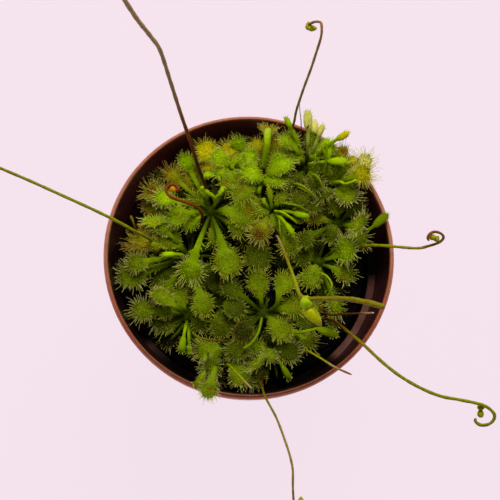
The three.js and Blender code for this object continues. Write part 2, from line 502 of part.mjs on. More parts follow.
// One leaf: a four-sided stalk that widens into a thin blade with a star of tentacles round it.
function leafSolid({ heart, frame, tips: tipPoints }) {
  const vertices = [];
  const add = (place) => vertices.push(place) - 1;
  const stalk = stalkCurve(heart, frame);
  const { rays } = frame;
  const thick = frame.club ? LEAF.clubThick : LEAF.thick;
  const sections = stalkSections(frame, stalk).map((corners) => corners.map(add));
  const valleys = bladeValleys(frame).map(add);
  const tips = tipPoints.map(add);
  const half = (middle, centre, neck) => ({
    valleys, tips,
    middles: bladeMiddles(frame, middle).map(add),
    centre: add(bladePoint(frame, 0, 0, centre)),
    neck: add(stalk.getPoint(1).addScaledVector(frame.over, neck)),
  });
  const upper = half(thick, 0.6 * thick, LEAF.stalkThick);
  const lower = half(-0.8 * thick, -1.4 * thick, -LEAF.stalkThick);
  sections.push([valleys[rays], upper.neck, valleys[0], lower.neck]);
  const [root] = sections;
  const faces = [
    ...bladeFaces(rays, upper),
    ...bladeFaces(rays, lower).map(([one, two, three]) => [one, three, two]),
    ...sequence(LEAF.stalkParts, (part) => sleeveFaces(sections[part], sections[part + 1])).flat(),
    [root[0], root[2], root[1]], [root[0], root[3], root[2]],
  ];
  return solidOf(facetedGeometry(vertices, faces));
}

// ---------------------------------------------------------------- root stocks
const stockFoot = ([x, y]) => soilHeight(x, y) - STOCK.depth;

// The balls that fill a root stock and its crown.
function stockFill([x, y, z]) {
  const spacing = 0.8;
  const ground = soilHeight(x, y);
  const count = Math.ceil((z - ground) / spacing);
  const column = sequence(count, (step) => [x, y, ground + step * spacing, STOCK.radius]);
  return [...column, [x, y, z - STOCK.coreDrop, STOCK.core]];
}

function rosetteSolid(crown, leaves) {
  const [x, y, z] = crown;
  const stock = solidOf(uprightPeg(x, y, stockFoot(crown), z, STOCK.radius, STOCK.sides));
  const core = new THREE.SphereGeometry(STOCK.core, 6, 4);
  core.rotateX(Math.PI / 2);
  core.translate(x, y, z - STOCK.coreDrop);
  return leaves.reduce((solid, leaf) => solid.add(leafSolid(leaf)), stock.add(solidOf(core)));
}

function stockHole([x, y, z]) {
  const [low, high] = [stockFoot([x, y, z]) - GAP, soilHeight(x, y) + HOLE_TOP];
  return uprightPeg(x, y, low, high, boreRadius(STOCK.radius, STOCK.sides), STOCK.sides);
}

// ---------------------------------------------------------------- flower stalks and buds
// The path through a stalk's points, stepped from point to point, so the curls have short steps.
function stalkPath({ foot: [x, y], points }) {
  const ground = soilHeight(x, y);
  const rooted = [[x, y, ground - STALK.depth + GAP], [x, y, ground], ...points].map(point);
  const curve = new THREE.CatmullRomCurve3(rooted, false, "catmullrom", 0.5);
  curve.getUtoTmapping = (share) => share;
  return curve;
}

function tubeSolid(curve, radius) {
  const corners = sequence(STALK.sides, (side) => new THREE.Vector2(...onCircle(radius, side / STALK.sides)));
  const steps = curve.points.length - 1;
  const settings = { steps, bevelEnabled: false, extrudePath: curve };
  return solidOf(new THREE.ExtrudeGeometry(new THREE.Shape(corners), settings));
}

function stalkFill(curve, radius) {
  const spacing = 0.6;
  return curve.points.slice(1).flatMap((end, index) => {
    const start = curve.points[index];
    const count = Math.ceil(start.distanceTo(end) / spacing);
    return sequence(count, (step) => [...start.clone().lerp(end, (step + 1) / count), radius]);
  });
}

function stalkHole({ foot: [x, y], radius }) {
  const ground = soilHeight(x, y);
  const bore = boreRadius(radius, STALK.sides);
  return uprightPeg(x, y, ground - STALK.depth, ground + HOLE_TOP, bore, STALK.sides);
}

function budGeometry([x, y, z, long, wide, ...axis]) {
  const bud = new THREE.SphereGeometry(1, 5, 4);
  bud.scale(wide, long, wide);
  const upright = new THREE.Vector3(0, 1, 0);
  bud.applyQuaternion(new THREE.Quaternion().setFromUnitVectors(upright, point(axis).normalize()));
  bud.translate(x, y, z);
  return bud;
}

// Buds lie against their stalk, a running gap away from it.
function budSolid({ stalk, buds }) {
  const cluster = buds.map((bud) => solidOf(budGeometry(bud))).reduce((all, bud) => all.add(bud));
  const carrier = STALKS[stalk];
  const sleeve = tubeSolid(stalkPath(carrier), boreRadius(carrier.radius, STALK.sides));
  const pieces = cluster.subtract(sleeve).decompose();
  return pieces.reduce((most, piece) => (piece.volume() > most.volume() ? piece : most));
}

// ---------------------------------------------------------------- assembly
const group = new THREE.Group();
function show(name, solid, material) {
  const mesh = new THREE.Mesh(geometryOf(solid), new THREE.MeshStandardMaterial(MATERIALS[material]));
  mesh.name = name;
  group.add(mesh);
}

const fixed = [
  ...Object.entries(ROSETTES).map(([name, { crown }]) => ({ name, fill: stockFill(crown) })),
  ...Object.entries(STALKS).map(([name, stalk]) => (
    { name, fill: stalkFill(stalkPath(stalk), stalk.radius) })),
];
const holes = [
  ...Object.values(ROSETTES).map(({ crown }) => stockHole(crown)),
  ...Object.values(STALKS).map(stalkHole),
];
const settled = settleLeaves(fixed);
settleTentacles(settled, fixed);

show("pot", makePot(), "pot");
show("soil", makeSoil(holes), "soil");
for (const [name, { crown }] of Object.entries(ROSETTES)) {
  show(name, rosetteSolid(crown, settled.filter((leaf) => leaf.name === name)), "leaf");
}
for (const [name, stalk] of Object.entries(STALKS)) {
  show(name, tubeSolid(stalkPath(stalk), stalk.radius), stalk.red ? "redStalk" : "oliveStalk");
}
for (const [name, cluster] of Object.entries(BUDS)) show(name, budSolid(cluster), "bud");

export default group;
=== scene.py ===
"""A clump of spoon-leaved sundew in a small nursery pot, dressed around its packed solids.

Shapes are worked out in millimetres, with Z up and the origin at the centre of the pot's base,
and are turned into metres when their mesh is made.
"""
import math
from collections import namedtuple

import bpy
import numpy as np
from bpy.props import FloatProperty, FloatVectorProperty, IntProperty, PointerProperty
from mathutils import Matrix


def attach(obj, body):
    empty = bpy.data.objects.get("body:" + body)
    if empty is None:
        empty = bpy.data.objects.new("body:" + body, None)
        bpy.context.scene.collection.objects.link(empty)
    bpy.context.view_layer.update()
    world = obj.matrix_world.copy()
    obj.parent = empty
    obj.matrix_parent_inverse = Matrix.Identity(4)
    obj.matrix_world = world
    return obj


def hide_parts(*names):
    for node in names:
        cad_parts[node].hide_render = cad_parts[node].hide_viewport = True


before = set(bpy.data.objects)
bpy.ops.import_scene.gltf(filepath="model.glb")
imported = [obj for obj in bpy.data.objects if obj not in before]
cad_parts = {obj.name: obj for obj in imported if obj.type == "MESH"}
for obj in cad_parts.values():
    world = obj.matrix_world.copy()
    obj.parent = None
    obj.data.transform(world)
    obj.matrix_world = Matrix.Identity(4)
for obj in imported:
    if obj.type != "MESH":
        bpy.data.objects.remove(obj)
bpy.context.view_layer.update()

bl_info = {
    "name": "Potted Sundew",
    "version": (1, 0, 0),
    "blender": (4, 5, 0),
    "location": "3D View > Sidebar > Sundew",
    "description": "Builds a clump of spoon-leaved sundew in a nursery pot",
    "category": "Add Mesh",
}

MM = 0.001
GAP = 0.3                   # running gap between two pieces that touch
BODY = "root"
GOLDEN_ANGLE = 2.399963

# ---------------------------------------------------------------- the plant's layout, as in the solids
# Each rosette: its crown, then its leaves as blade centre x, y, z, blade width, tip rise and roll in
# degrees, sideways bow of the stalk, and the number of the blade's look.
ROSETTES = {
    "rosette_a": ((-8, 10.2, 46.5), (
        (-4.6, -1.2, 50, 4.8, -12, 0, 0, 1), (-12, -3, 50, 4.2, -30, 0, 0, 0),
        (-1.4, 8.6, 50.5, 5.2, -8, 0, 0, 1), (-15.8, 17.2, 49, 3, 15, 15, 0, 2),
        (-20, 14, 48, 3.3, 0, 0, 0, 8), (-14.6, 8.4, 50, 3.5, 0, 0, 0, 0),
        (-19.4, 7.4, 48, 3.8, -5, 45, 0, 0), (-9.7, 13.8, 50.5, 1.2, 50, 0, 0, 0),
        (-5.6, 13.5, 50.5, 1.2, 50, 0, 0, 0), (-13.2, 20.6, 48, 3, 20, 0, 0, 0),)),
    "rosette_b": ((-12.4, 0.8, 44.5), (
        (-24, -3.5, 46, 4.5, 0, 0, 0, 1), (-23, -1.4, 48.5, 3.2, 0, 0, 0, 1),
        (-16.8, 4.3, 47.5, 4.2, 0, 0, 0, 1), (-22.9, 3, 45, 4, -5, 0, 0, 2),
        (-16.6, 0.4, 48.5, 1.3, 10, 0, 0, 0), (-18.2, -3.2, 44, 3.2, -10, 0, 0, 3),
        (-17.4, -6.6, 45, 3.4, -10, -30, 0, 1), (-9.6, -9.8, 48, 3.8, -5, 0, 0, 1),)),
    "rosette_c": ((-12.6, -11.7, 43.5), (
        (-21.7, -11, 46, 3.5, 0, 0, 0, 1), (-17.8, -8.8, 48, 3.8, -5, 35, 0, 1),
        (-13.6, -17.9, 46, 1.5, -25, 0, 0, 0), (-12.2, -18.8, 44, 1.2, -30, 0, 0, 0),
        (-17, -13.7, 43, 2.2, -10, 0, 0, 1), (-9.8, -14.6, 43, 3.2, 0, 0, 0, 1),)),
    "rosette_d": ((3.1, -11.3, 45), (
        (2, -5.2, 47, 3.6, 5, 0, 0, 1), (7.4, -5.5, 48, 3.7, -15, 0, -2.2, 1),
        (9.2, -9.8, 46, 3.6, 0, 0, 0, 1), (12.4, -12.8, 45, 3.4, 0, 0, 0, 3),
        (6.4, -15.2, 48.5, 3.7, 0, 0, 0, 1), (-2.2, -18.9, 46.5, 3.6, -5, 0, 1.8, 3),
        (-1, -15.5, 47.5, 3.4, 0, 10, 0, 4), (16.1, -15.7, 48.5, 1.9, 0, 0, -4.2, 1),
        (-2.3, -12, 44, 4.2, 0, 0, 0, 3), (12.4, -17, 45, 2.4, -10, 0, 0, 1),
        (-3.5, -6.6, 48, 3.4, 5, 0, 0, 3),)),
    "rosette_e": ((14.6, -0.5, 46), (
        (20.3, 1.6, 49, 4.3, 50, 0, 0, 0), (20.1, -2.7, 46, 3.1, -15, 0, 0, 1),
        (13, -4.1, 48.5, 3.6, 0, 0, 0, 1), (18.2, -10.1, 47, 2.4, -10, 30, 0, 1),
        (17.8, -12.6, 45.5, 2.1, -20, 30, 0, 1), (16.2, -6.4, 44, 3.2, -5, 0, 0, 3),
        (11.2, 0.6, 47, 3.1, 0, 0, 0, 3),)),
    "rosette_f": ((2.8, 15.6, 47), (
        (6.6, 19.3, 52.5, 4.3, 10, 0, 0, 0), (5.4, 16.4, 51, 3.5, 0, 0, 0, 0),
        (3.8, 26, 53.5, 2.9, -50, 0, 0, 8), (0.4, 17.2, 52, 3.4, 0, 0, 0, 0),
        (-1.4, 13.2, 51, 3.4, 0, 0, 0, 1), (8.4, 16.6, 48.5, 2.8, 10, 30, 0, 4),)),
    "rosette_g": ((12.2, 19.4, 48.5), (
        (7.9, 26.9, 55, 1.2, 20, 0, 0, 0), (12, 27.4, 56, 1.9, 20, 0, 0, 7),
        (14.6, 18.8, 53, 3, 5, 60, 0, 0), (16.2, 22, 54, 2.8, 20, -20, 0, 0),
        (19.2, 24.4, 55.5, 1.6, -20, 40, 0, 5), (18.2, 19.2, 54.5, 1.8, 10, 0, 0, 0),
        (8.9, 23.8, 52.5, 3, 10, 0, 0, 0), (12.8, 24.2, 54, 2.8, 35, 30, 0, 1),
        (14.7, 25.6, 55, 1.3, 20, 0, 0, 7), (9.4, 21.6, 50.5, 3.2, 5, 0, 0, 1),
        (13.6, 15.4, 50.8, 2.8, 0, 0, 0, 3), (9.6, 16.4, 50, 2.6, 0, 20, 0, 3),
        (19.2, 21.4, 52.5, 2.2, 20, 0, 0, 8),)),
    "rosette_h": ((17.2, 14.8, 48), (
        (23, 16.2, 53.5, 3.2, 15, 35, 0, 5), (20.2, 12.8, 52, 3.6, 20, 0, 0, 1),
        (23.7, 19.2, 51.5, 2.8, 20, 10, 0, 7), (15.8, 13, 51, 2.8, 10, 30, 0, 3),
        (10.4, 11.7, 51.5, 2.6, 0, 10, 0, 3), (13.9, 10.9, 50, 2.8, 0, 20, 0, 3),
        (17.8, 18, 51.2, 2.8, 20, 0, 0, 1), (21.2, 19.4, 52.6, 2.4, 30, 0, 0, 5),)),
    "rosette_i": ((18.9, 7.7, 47), (
        (22.8, 6.2, 51, 3.8, 60, 0, 0, 1), (27, 6.9, 53, 1.8, 15, 0, 0, 1),
        (17.2, 5, 49.5, 2.6, 0, 0, 0, 3), (13.8, 9, 48, 3.2, 0, 0, 0, 2),
        (12, 3.6, 50, 2.8, -20, 10, 0, 3), (18.4, 11.4, 48, 2.8, 0, 0, 0, 1),
        (22.2, 11.2, 48, 2.6, 10, 20, 0, 3),)),
    "rosette_j": ((4.7, 10.2, 46.5), (
        (2.3, 5.2, 50, 3.4, -8, 0, 0, 8), (2, 0.6, 47, 4.7, -5, 0, 0, 3),
        (4.3, 12.6, 51.5, 1.3, 15, 0, 0, 1), (8.3, 5.4, 51.5, 1.3, -10, 0, 0, 0),
        (8.2, 2.8, 49, 3.3, -5, 0, 1, 1), (10.6, 8.6, 51, 1.5, 0, 20, 0, 0),
        (10.8, 12, 48, 3, 0, 0, 0, 1), (-0.3, 5, 46, 3.2, -5, 0, 0, 4),)),
    "rosette_k": ((-5.6, -19.3, 43.5), (
        (-8.4, -19.6, 47.5, 3.7, 0, 0, 0, 1), (-8, -23, 45, 2.5, -10, 0, 0, 3),
        (-9.9, -26.4, 53, 1.6, -5, 0, -3.5, 1), (-8.1, -28.3, 54.2, 3, -10, 0, 0, 1),
        (-2.1, -20.6, 46, 3.5, 0, 0, 0, 3), (-1.9, -24.2, 45, 3.6, -5, 0, 0, 1),
        (-6.6, -24.2, 42.5, 2.4, -10, 0, 0, 4),)),
    "rosette_l": ((-5.7, -8.8, 44.5), (
        (-3, -10.6, 47, 3.4, 0, 0, 0, 3), (-5.7, -14, 45, 3.5, 0, 0, 0, 3),
        (-10.4, -6.4, 45, 2.6, 0, 0, 0, 3), (-7.4, -4.8, 45, 2.8, 5, 0, 0, 2),)),
    "rosette_m": ((-4.2, 19, 46.5), (
        (-4.2, 15.8, 50, 3.3, -5, 0, 0, 1), (0, 21, 51, 2.7, 20, 0, 0, 0),
        (-2.2, 24, 50, 3, 45, 0, 0, 0), (-8.8, 22.4, 50, 4.1, 30, 0, 0, 5),
        (-6.2, 20.6, 51.5, 2.9, 10, 0, 0, 0), (-7.9, 17.8, 49, 1.5, 10, 0, 0, 0),
        (1.8, 24.4, 47.5, 3, 5, 0, 0, 5), (-2.4, 17, 49, 2.6, 0, 0, 0, 1),)),
    "rosette_n": ((4.6, -18.8, 43.5), (
        (2.2, -22, 47.5, 3.3, 0, 60, 0, 1), (0.9, -24.3, 45, 3.4, -10, 0, 0, 1),
        (7.7, -23.6, 45.5, 1.4, -25, 0, 0, 1), (8, -19.4, 46, 3.8, 0, 0, 0, 3),
        (10.6, -17, 43.5, 2.6, 5, 0, 0, 3), (4.9, -15.2, 44.5, 2.4, 0, 20, 0, 3),)),
}

# Each flower stalk: radius, foot x, y in the peat, then the points of its path.
STALKS = {
    "stalk_tall": (0.38, (-7.6, 13), (
        (-8, 13.2, 47), (-9.4, 14.2, 54), (-10.9, 15.8, 63), (-12.3, 17.6, 72), (-14, 19.6, 82),
        (-15.7, 22, 92), (-17.2, 23.9, 101), (-18.6, 23.9, 107), (-20.4, 23.7, 114), (-22.1, 23.9, 121),
        (-23.6, 24.6, 127), (-24.2, 25.9, 130), (-23.4, 27.4, 130.6), (-22, 27, 129.2),)),
    "stalk_red": (0.32, (-9.5, 7.5), (
        (-9.7, 7.8, 46), (-9.9, 8.7, 50.8), (-11, 9.6, 52.8), (-12.9, 10.1, 53.8), (-15.1, 10.7, 54.3),
        (-16.5, 11.3, 54.5), (-17.2, 12.3, 54.5), (-17, 13.3, 54.6), (-16, 13.8, 54.7),
        (-15.1, 13.5, 54.9), (-14.8, 12.7, 55.2), (-15.2, 12, 55.4),)),
    "stalk_west": (0.32, (-20, 4), (
        (-20.1, 3.7, 46), (-21.2, 3.1, 52.5), (-23.8, 3.3, 57.5), (-26.2, 4.1, 60), (-31, 5.8, 63),
        (-37.7, 8.4, 65), (-43.5, 10.8, 66), (-49.2, 13, 67), (-52.4, 14.4, 67), (-54.6, 15.9, 66.2),
        (-55, 17.4, 65.4), (-53.9, 18, 64.8),)),
    "stalk_north": (0.26, (7, 23.1), (
        (7.1, 23.9, 44), (8.6, 26, 50.5), (9.1, 27.1, 56), (9.1, 27.3, 62), (9.3, 27.3, 68), (9.8, 28, 74),
        (10.6, 29.3, 80), (11.2, 30.7, 84), (11.9, 32.7, 87), (12, 34.2, 88), (11.8, 35.3, 88),
        (11, 35.9, 87), (10.3, 36.3, 85.4), (9.6, 36.4, 83.6),)),
    "stalk_east": (0.3, (22.6, 3), (
        (23.1, 2.4, 46), (23.9, 1.4, 53.5), (26.1, 0.4, 58), (28.8, -0.3, 60), (31.7, -0.8, 61),
        (33.7, -0.8, 61), (35.3, -0.4, 61), (36.9, 0.1, 61), (37.9, 0.6, 61.4), (38.3, 1.2, 62),
        (37.7, 1.8, 62.6), (36.4, 2, 63.2), (35.3, 1.5, 63.5), (34.9, 0.8, 63.3), (35.2, 0.2, 62.9),)),
    "stalk_southeast": (0.32, (15.4, -11.6), (
        (16, -12.4, 46), (17.6, -14.6, 53), (19.8, -17.4, 57), (22, -20.1, 60), (25.2, -24, 63),
        (28.5, -26.9, 64), (32.2, -29.2, 64.5), (36.1, -30.7, 64), (40.1, -31.3, 63), (43.8, -31.9, 62),
        (45.8, -32.6, 61.5), (47.1, -33.8, 61), (47, -34.9, 60.5), (46, -35.7, 60.3), (44.6, -35.8, 60),
        (43.7, -35.1, 59.6), (43.8, -34.4, 59.4),)),
    "stalk_south": (0.26, (3.6, -22.8), (
        (3.5, -23.2, 42), (3.1, -24.6, 47), (2.5, -26.7, 52.2), (2.8, -29.8, 56.6), (4.9, -34.6, 60),
        (6.3, -39.1, 63), (7.2, -42.2, 64), (7.7, -44.8, 64), (7.8, -48, 62.6), (8.2, -50.9, 60.4),
        (9.3, -52.4, 58.4), (10.6, -51.8, 57.2),)),
    "stalk_middle": (0.34, (5.7, 5.5), (
        (5.7, 5.2, 46), (5.9, 2.6, 54), (7.1, -4.6, 64), (8, -9.7, 70), (8.5, -13, 74), (9.6, -14.2, 75.6),
        (11.8, -14.5, 77), (14.5, -15, 79.6), (17, -15.5, 81.6), (20, -16.5, 83.6), (22.8, -17.6, 85),)),
    "stub_east": (0.24, (14.8, -8.8), (
        (15, -9.8, 46), (15.1, -11.8, 50.6), (16.5, -12.9, 52.7), (19, -12.9, 53.7), (21.8, -12.8, 54),
        (24.7, -12.7, 54),)),
    "stub_south": (0.24, (11.2, -20.2), (
        (11.2, -20, 44), (11.7, -20, 50.5), (13.7, -21.7, 54), (16.7, -24.2, 57), (19.8, -26, 59),)),
    "stub_southwest": (0.26, (-4.9, -22.4), (
        (-4.9, -22.4, 43), (-4.3, -22.8, 50), (-2.6, -25.1, 54), (-1, -27.1, 56), (0.3, -28.6, 57),)),
    "stub_west": (0.24, (-11.3, -15.3), (
        (-11.4, -15.5, 45), (-11.5, -16.2, 49.4), (-10.4, -17.4, 51.5), (-8.6, -18.1, 52.5),
        (-6.4, -18.4, 53), (-4, -18.4, 52.6),)),
}

# Each bud cluster: its buds as centre, half length, half width and the long axis.
BUDS = {
    "buds_tall": ((-22, 26.2, 129.4, 1.1, 0.8, 1, -1, -1), (-22.6, 25.4, 130, 0.9, 0.7, 1, 0, 0)),
    "bud_red": ((-15.8, 12.5, 55.1, 0.75, 0.6, 1, -1, 0),),
    "buds_west": ((-53.6, 17.2, 65, 0.9, 0.65, 1, 0, 0), (-53.2, 16.2, 65.6, 0.8, 0.6, 0, 1, 0)),
    "buds_north": ((10.6, 35.6, 84.6, 0.9, 0.6, 1, 0, 0), (9.9, 36.4, 84, 0.9, 0.6, 0, 1, 0)),
    "buds_east": ((36.1, 1, 62.6, 0.8, 0.6, 1, 0, 0), (36.9, 0.9, 62.1, 0.7, 0.6, 1, 1, 0)),
    "buds_southeast": ((44.7, -32.4, 60.6, 0.8, 0.65, 1, 0, 0), (44.7, -33.5, 59.9, 0.9, 0.65, 0, 1, 0)),
    "buds_south": ((10, -51.2, 58, 0.9, 0.65, 1, 0, 0), (9.6, -50.2, 58.8, 0.8, 0.6, 0, 1, 0)),
    "buds_middle": ((9.9, -15, 75.2, 1.45, 1.35, 1, 0, 0), (10.9, -17.1, 74.2, 2.6, 1.2, 1.8, -2, -0.5)),
}

# Smaller leaves of the rosettes that fill the gaps under the others, each written as in the rosettes.
FILLERS = {
    "rosette_a": ((-17.6, 12.5, 48.2, 3, 0, 0, 0, 0), (-12.2, 7.6, 48.4, 3, 0, 0, 0, 0),
                  (-11.8, 17.6, 46.2, 3.4, 0, 0, 0, 2), (-20.3, 11.4, 46, 3, 0, 0, 0, 2),
                  (-2.5, 5.7, 49.6, 2.3, -5, 0, 0, 1), (-19.2, 17.7, 46.5, 2.1, 0, 0, 0, 4),
                  (-7, 4.4, 47.4, 2.3, -5, 0, 0, 1),
                  (-10.6, 20.6, 46.4, 2.6, 0, 0, 0, 2), (-11.2, 12.6, 47.6, 2.2, 0, 0, 0, 1)),
    "rosette_b": ((-20.8, 6.2, 46.8, 2.8, -5, 20, 0, 2), (-17.8, 5.9, 48.8, 2.4, 0, 0, 0, 1),
                  (-21.9, 3.2, 48, 3.1, -5, 0, 0, 2)),
    "rosette_c": ((-14.4, -8, 45.4, 3, 0, 0, 0, 1), (-18.5, -12.8, 43.8, 2.4, 0, 0, 0, 3),
                  (-10.4, -13.5, 45.2, 2.2, 0, 0, 0, 3), (-17.2, -11, 45.4, 2.2, 0, 0, 0, 1)),
    "rosette_d": ((13.3, -10, 45.6, 2.4, 0, 0, 0, 1),),
    "rosette_f": ((5.6, 24, 49.6, 3, 10, 0, 0, 2), (6.6, 22.8, 48.8, 3, 0, 0, 0, 1),
                  (1, 12, 49, 2.1, 0, 0, 0, 1)),
    "rosette_g": ((14.2, 22.7, 52.2, 2.6, 10, 0, 0, 0), (8.0, 23.7, 54, 2.7, 5, 0, 0, 0),
                  (9.4, 21.5, 52.4, 2.5, 5, 0, 0, 1), (13.3, 26.1, 53.4, 1.9, 15, 0, 0, 7)),
    "rosette_h": ((16.1, 21.7, 54.8, 1.95, 25, 0, 0, 0), (17.9, 17, 50.6, 2.2, 10, 0, 0, 1),
                  (23.1, 16.3, 55.2, 2.9, 10, 20, 0, 5)),
    "rosette_i": ((23.2, 4.6, 47.4, 2.8, 10, 0, 0, 1),),
    "rosette_j": ((9.6, 7.9, 49.8, 1.2, 0, 0, 0, 1), (5.2, 7.6, 48.6, 2.2, 0, 0, 0, 1),
                  (6.8, 12.6, 49.4, 2.2, 0, 0, 0, 1), (2.6, 9.8, 49.6, 2.05, 5, 0, 0, 1)),
    "rosette_k": ((-7.6, -23.4, 53, 2.6, -10, 0, 0, 3),),
    "rosette_l": ((-8.2, -2.8, 46, 2.4, 0, 0, 0, 3),),
    "rosette_m": ((-7.6, 20.2, 48.2, 3.8, 5, 0, 0, 5), (-4.3, 23.1, 48.8, 3, 20, 0, 0, 5),
                  (-2.2, 20.6, 48.4, 2.8, 0, 0, 0, 0), (3.6, 21.6, 47.6, 2.8, 0, 0, 0, 1),
                  (-6, 17.9, 50.4, 2.1, 0, 0, 0, 0)),
    "rosette_n": ((4.4, -20.4, 47, 2, 20, 0, 0, 1), (1.8, -18.4, 45.8, 2.4, 0, 0, 0, 1)),
}

# Blades that have turned on their stalks: the blade's x, y and its turn in degrees.
TURNED = {(27, 6.9): 45}
# Blades whose tentacles are long and white: the blade's x, y.
SHAGGY = {(-12, -3), (-21.7, -11), (20.2, 12.8), (22.8, 6.2), (22.2, 11.2), (20.3, 1.6), (2.3, 5.2),
          (23.2, 4.6)}
# Tip rises, in degrees, of the blades that are bare but for their margin.
RAISED = (15, 20, 30, 45)

# The looks of a blade, in the order that the leaves number them: its colour, that colour's share in the
# stalk, how rusty the margin is, whether it may blush, and how pale and how ruddy its tentacles turn.
BladeLook = namedtuple("BladeLook", "colour in_stalk rust blush pale ruddy")
BLADE_LOOKS = [BladeLook(*look) for look in (
    ("bright", 0.4, 0.0, True, 0.8, 0.02), ("green", 0.4, 0.12, True, 0.8, 0.1),
    ("rust", 0.4, 0.55, True, 0.8, 0.6), ("olive", 0.8, 0.0, False, 0.45, 0.02),
    ("dead", 0.9, 0.0, False, 0.3, 0.2), ("yellow", 0.1, 0.15, True, 0.8, 0.2),
    ("drowned", 1.0, 0.0, False, 0.1, 0.02), ("cream", 0.4, 0.0, False, 0.8, 0.02),
    ("tanned", 0.4, 0.0, False, 0.8, 0.45))]
DEAD_LOOK = 4               # the number of the look that the oldest leaves have

# Radius of a root stock and of its crown's core, and how far the core's middle lies under the crown.
STOCK = {"radius": 1.0, "core": 1.7, "core_drop": 0.6}
STALK_DEPTH = 5.0           # how deep a flower stalk stands in the peat
# A blade's length over its width, for a club (a young rolled leaf, narrower than the club's width) too;
# how much broader it is towards the tip; half widths of its stalk; and the largest ball in a stalk.
LEAF = {
    "long": 1.15, "club_long": 2.4, "club_width": 2.0, "taper": 0.1, "stalk_half": 0.34, "stalk_share": 0.21,
    "club_stalk": 0.34, "stalk_fill": 0.6,
}
MEET = 0.93                 # where the stalk meets the blade, as a share of the blade's half length
# A leaf stalk's curve: how far out and under the crown it starts, and its handles as shares of its reach.
CURVE = {"out": 0.5, "under": 0.4, "handle": 0.33, "lift": 0.16, "bow": 0.6}
# Balls that fill a leaf or a stock: their number round the blade and along the stalk, how far out they
# lie, their radii, and how far apart they stand in a root stock and in a flower stalk.
BALLS = {
    "spokes": 10, "club_spokes": 4, "along": 9, "margin": 0.92, "margin_radius": 0.3, "inner": 0.5,
    "radius": 0.5, "stock_pitch": 0.8, "stalk_pitch": 0.6,
}
# The oldest leaves: how many, how far out, how low, how wide, and the fall of their tips in degrees.
OLD = {"count": 3, "reach": 5.0, "spread": 2.5, "drop": 2.5, "width": 3.4, "width_spread": 0.8, "rise": -12.0}
# Air between leaves, the step and number of the heights tried, and the zone where kin may meet.
SETTLE = {"air": 0.3, "step": 0.4, "tries": 30, "own_zone": 3.2}
# The most painted glint on a blade's tentacle tips, the distances from the axis where it begins and is full,
# and how much of it the north side loses between two distances north.
TIP_GLINT = {"most": 0.7, "near": 15, "far": 23, "loss": 0.6, "south": 12, "north": 20}
# Seeds of the random draws: each rosette adds its number to the first.
SEEDS = {"rosettes": 100, "drowned": 7, "crumbs": 5}


# ---------------------------------------------------------------- what a user would change
def length(name, description, millimetres):
    """A length that is kept in metres."""
    return FloatProperty(name=name, description=description, default=millimetres * MM, min=0, unit="LENGTH")


def colour(name, description, screen):
    """A colour that is given as 0 to 255 on a screen and kept as linear light, by the sRGB curve."""
    linear = [(value / 255 / 12.92) if value < 10 else ((value / 255 + 0.055) / 1.055) ** 2.4
              for value in screen]
    return FloatVectorProperty(
        name=name, description=description, default=linear, min=0, max=1, size=3, subtype="COLOR")


class SundewPot(bpy.types.PropertyGroup):
    """The nursery pot's sizes and colours."""

    rim: length("Rim", "Outer radius of the rolled rim", 30)
    mouth: length("Mouth", "Inner radius at the rim", 29.1)
    height: length("Height", "Height of the pot", 52)
    foot: length("Foot", "Outer radius of the base", 21.5)
    wall: length("Wall", "Thickness of the wall", 0.9)
    floor: length("Floor", "Thickness of the base", 1.4)
    skirt: length("Skirt", "Depth of the rolled rim", 4)
    lip: length("Lip", "How far the rim's edge is rounded off", 0.8)
    ledge: length("Ledge", "Height of the stacking ledge inside", 42)
    ledge_step: length("Ledge step", "How far the wall steps in under the ledge", 1.4)
    drain_ring: length("Drain ring", "Radius of the ring of drain holes", 13.5)
    drain_hole: length("Drain hole", "Radius of a drain hole", 2.1)
    plastic: colour("Plastic", "Terracotta plastic", (154, 74, 42))
    # Real scuffs, and painted sheen on the rim's edge.
    scuffs_and_sheen: colour("Scuffed plastic", "Plastic that handling has dulled", (178, 120, 98))
    # The inner wall's colour: partly wet stain, partly painted shade inside the pot; as a stain it also
    # mottles the rest.
    stain_and_shade: colour("Stained plastic", "Wet stain on the wall above the peat", (30, 11, 18))
    # Painted daylight through the inner wall, most at the north.
    lit: colour("Lit wall", "Stained wall where daylight shines through the plastic", (108, 48, 60))
    # Painted highlight on the stacking ledge.
    glossy: colour("Glossy ledge", "Worn patch on the stacking ledge", (118, 80, 76))
    # Painted shade on the rim's edge at the south.
    shaded_rim: colour("Grimy plastic", "Plastic that is wet and dirty", (84, 34, 14))
    # Painted light: the outside of the rim made brighter.
    glowing: colour("Skirt", "Outside of the rolled rim, which light passes through", (196, 98, 52))


class SundewPeat(bpy.types.PropertyGroup):
    """The peat's mound."""

    edge: length("Edge", "Height of the peat at the wall", 36.5)
    crown: length("Crown", "How far the mound rises in its middle", 5.5)
    reach: length("Reach", "Radius where the mound has levelled out", 26)
    lump: length("Lumps", "Height of the mound's lumps", 0.45)
    crumbs: IntProperty(name="Crumbs", description="Loose crumbs on the peat", default=420, min=0)
    wet: colour("Wet peat", "Peat that is soaked", (4, 4, 8))
    drained: colour("Drained peat", "Peat on the crests", (13, 11, 12))
    moss: colour("Moss", "Film of moss and algae", (11, 15, 8))


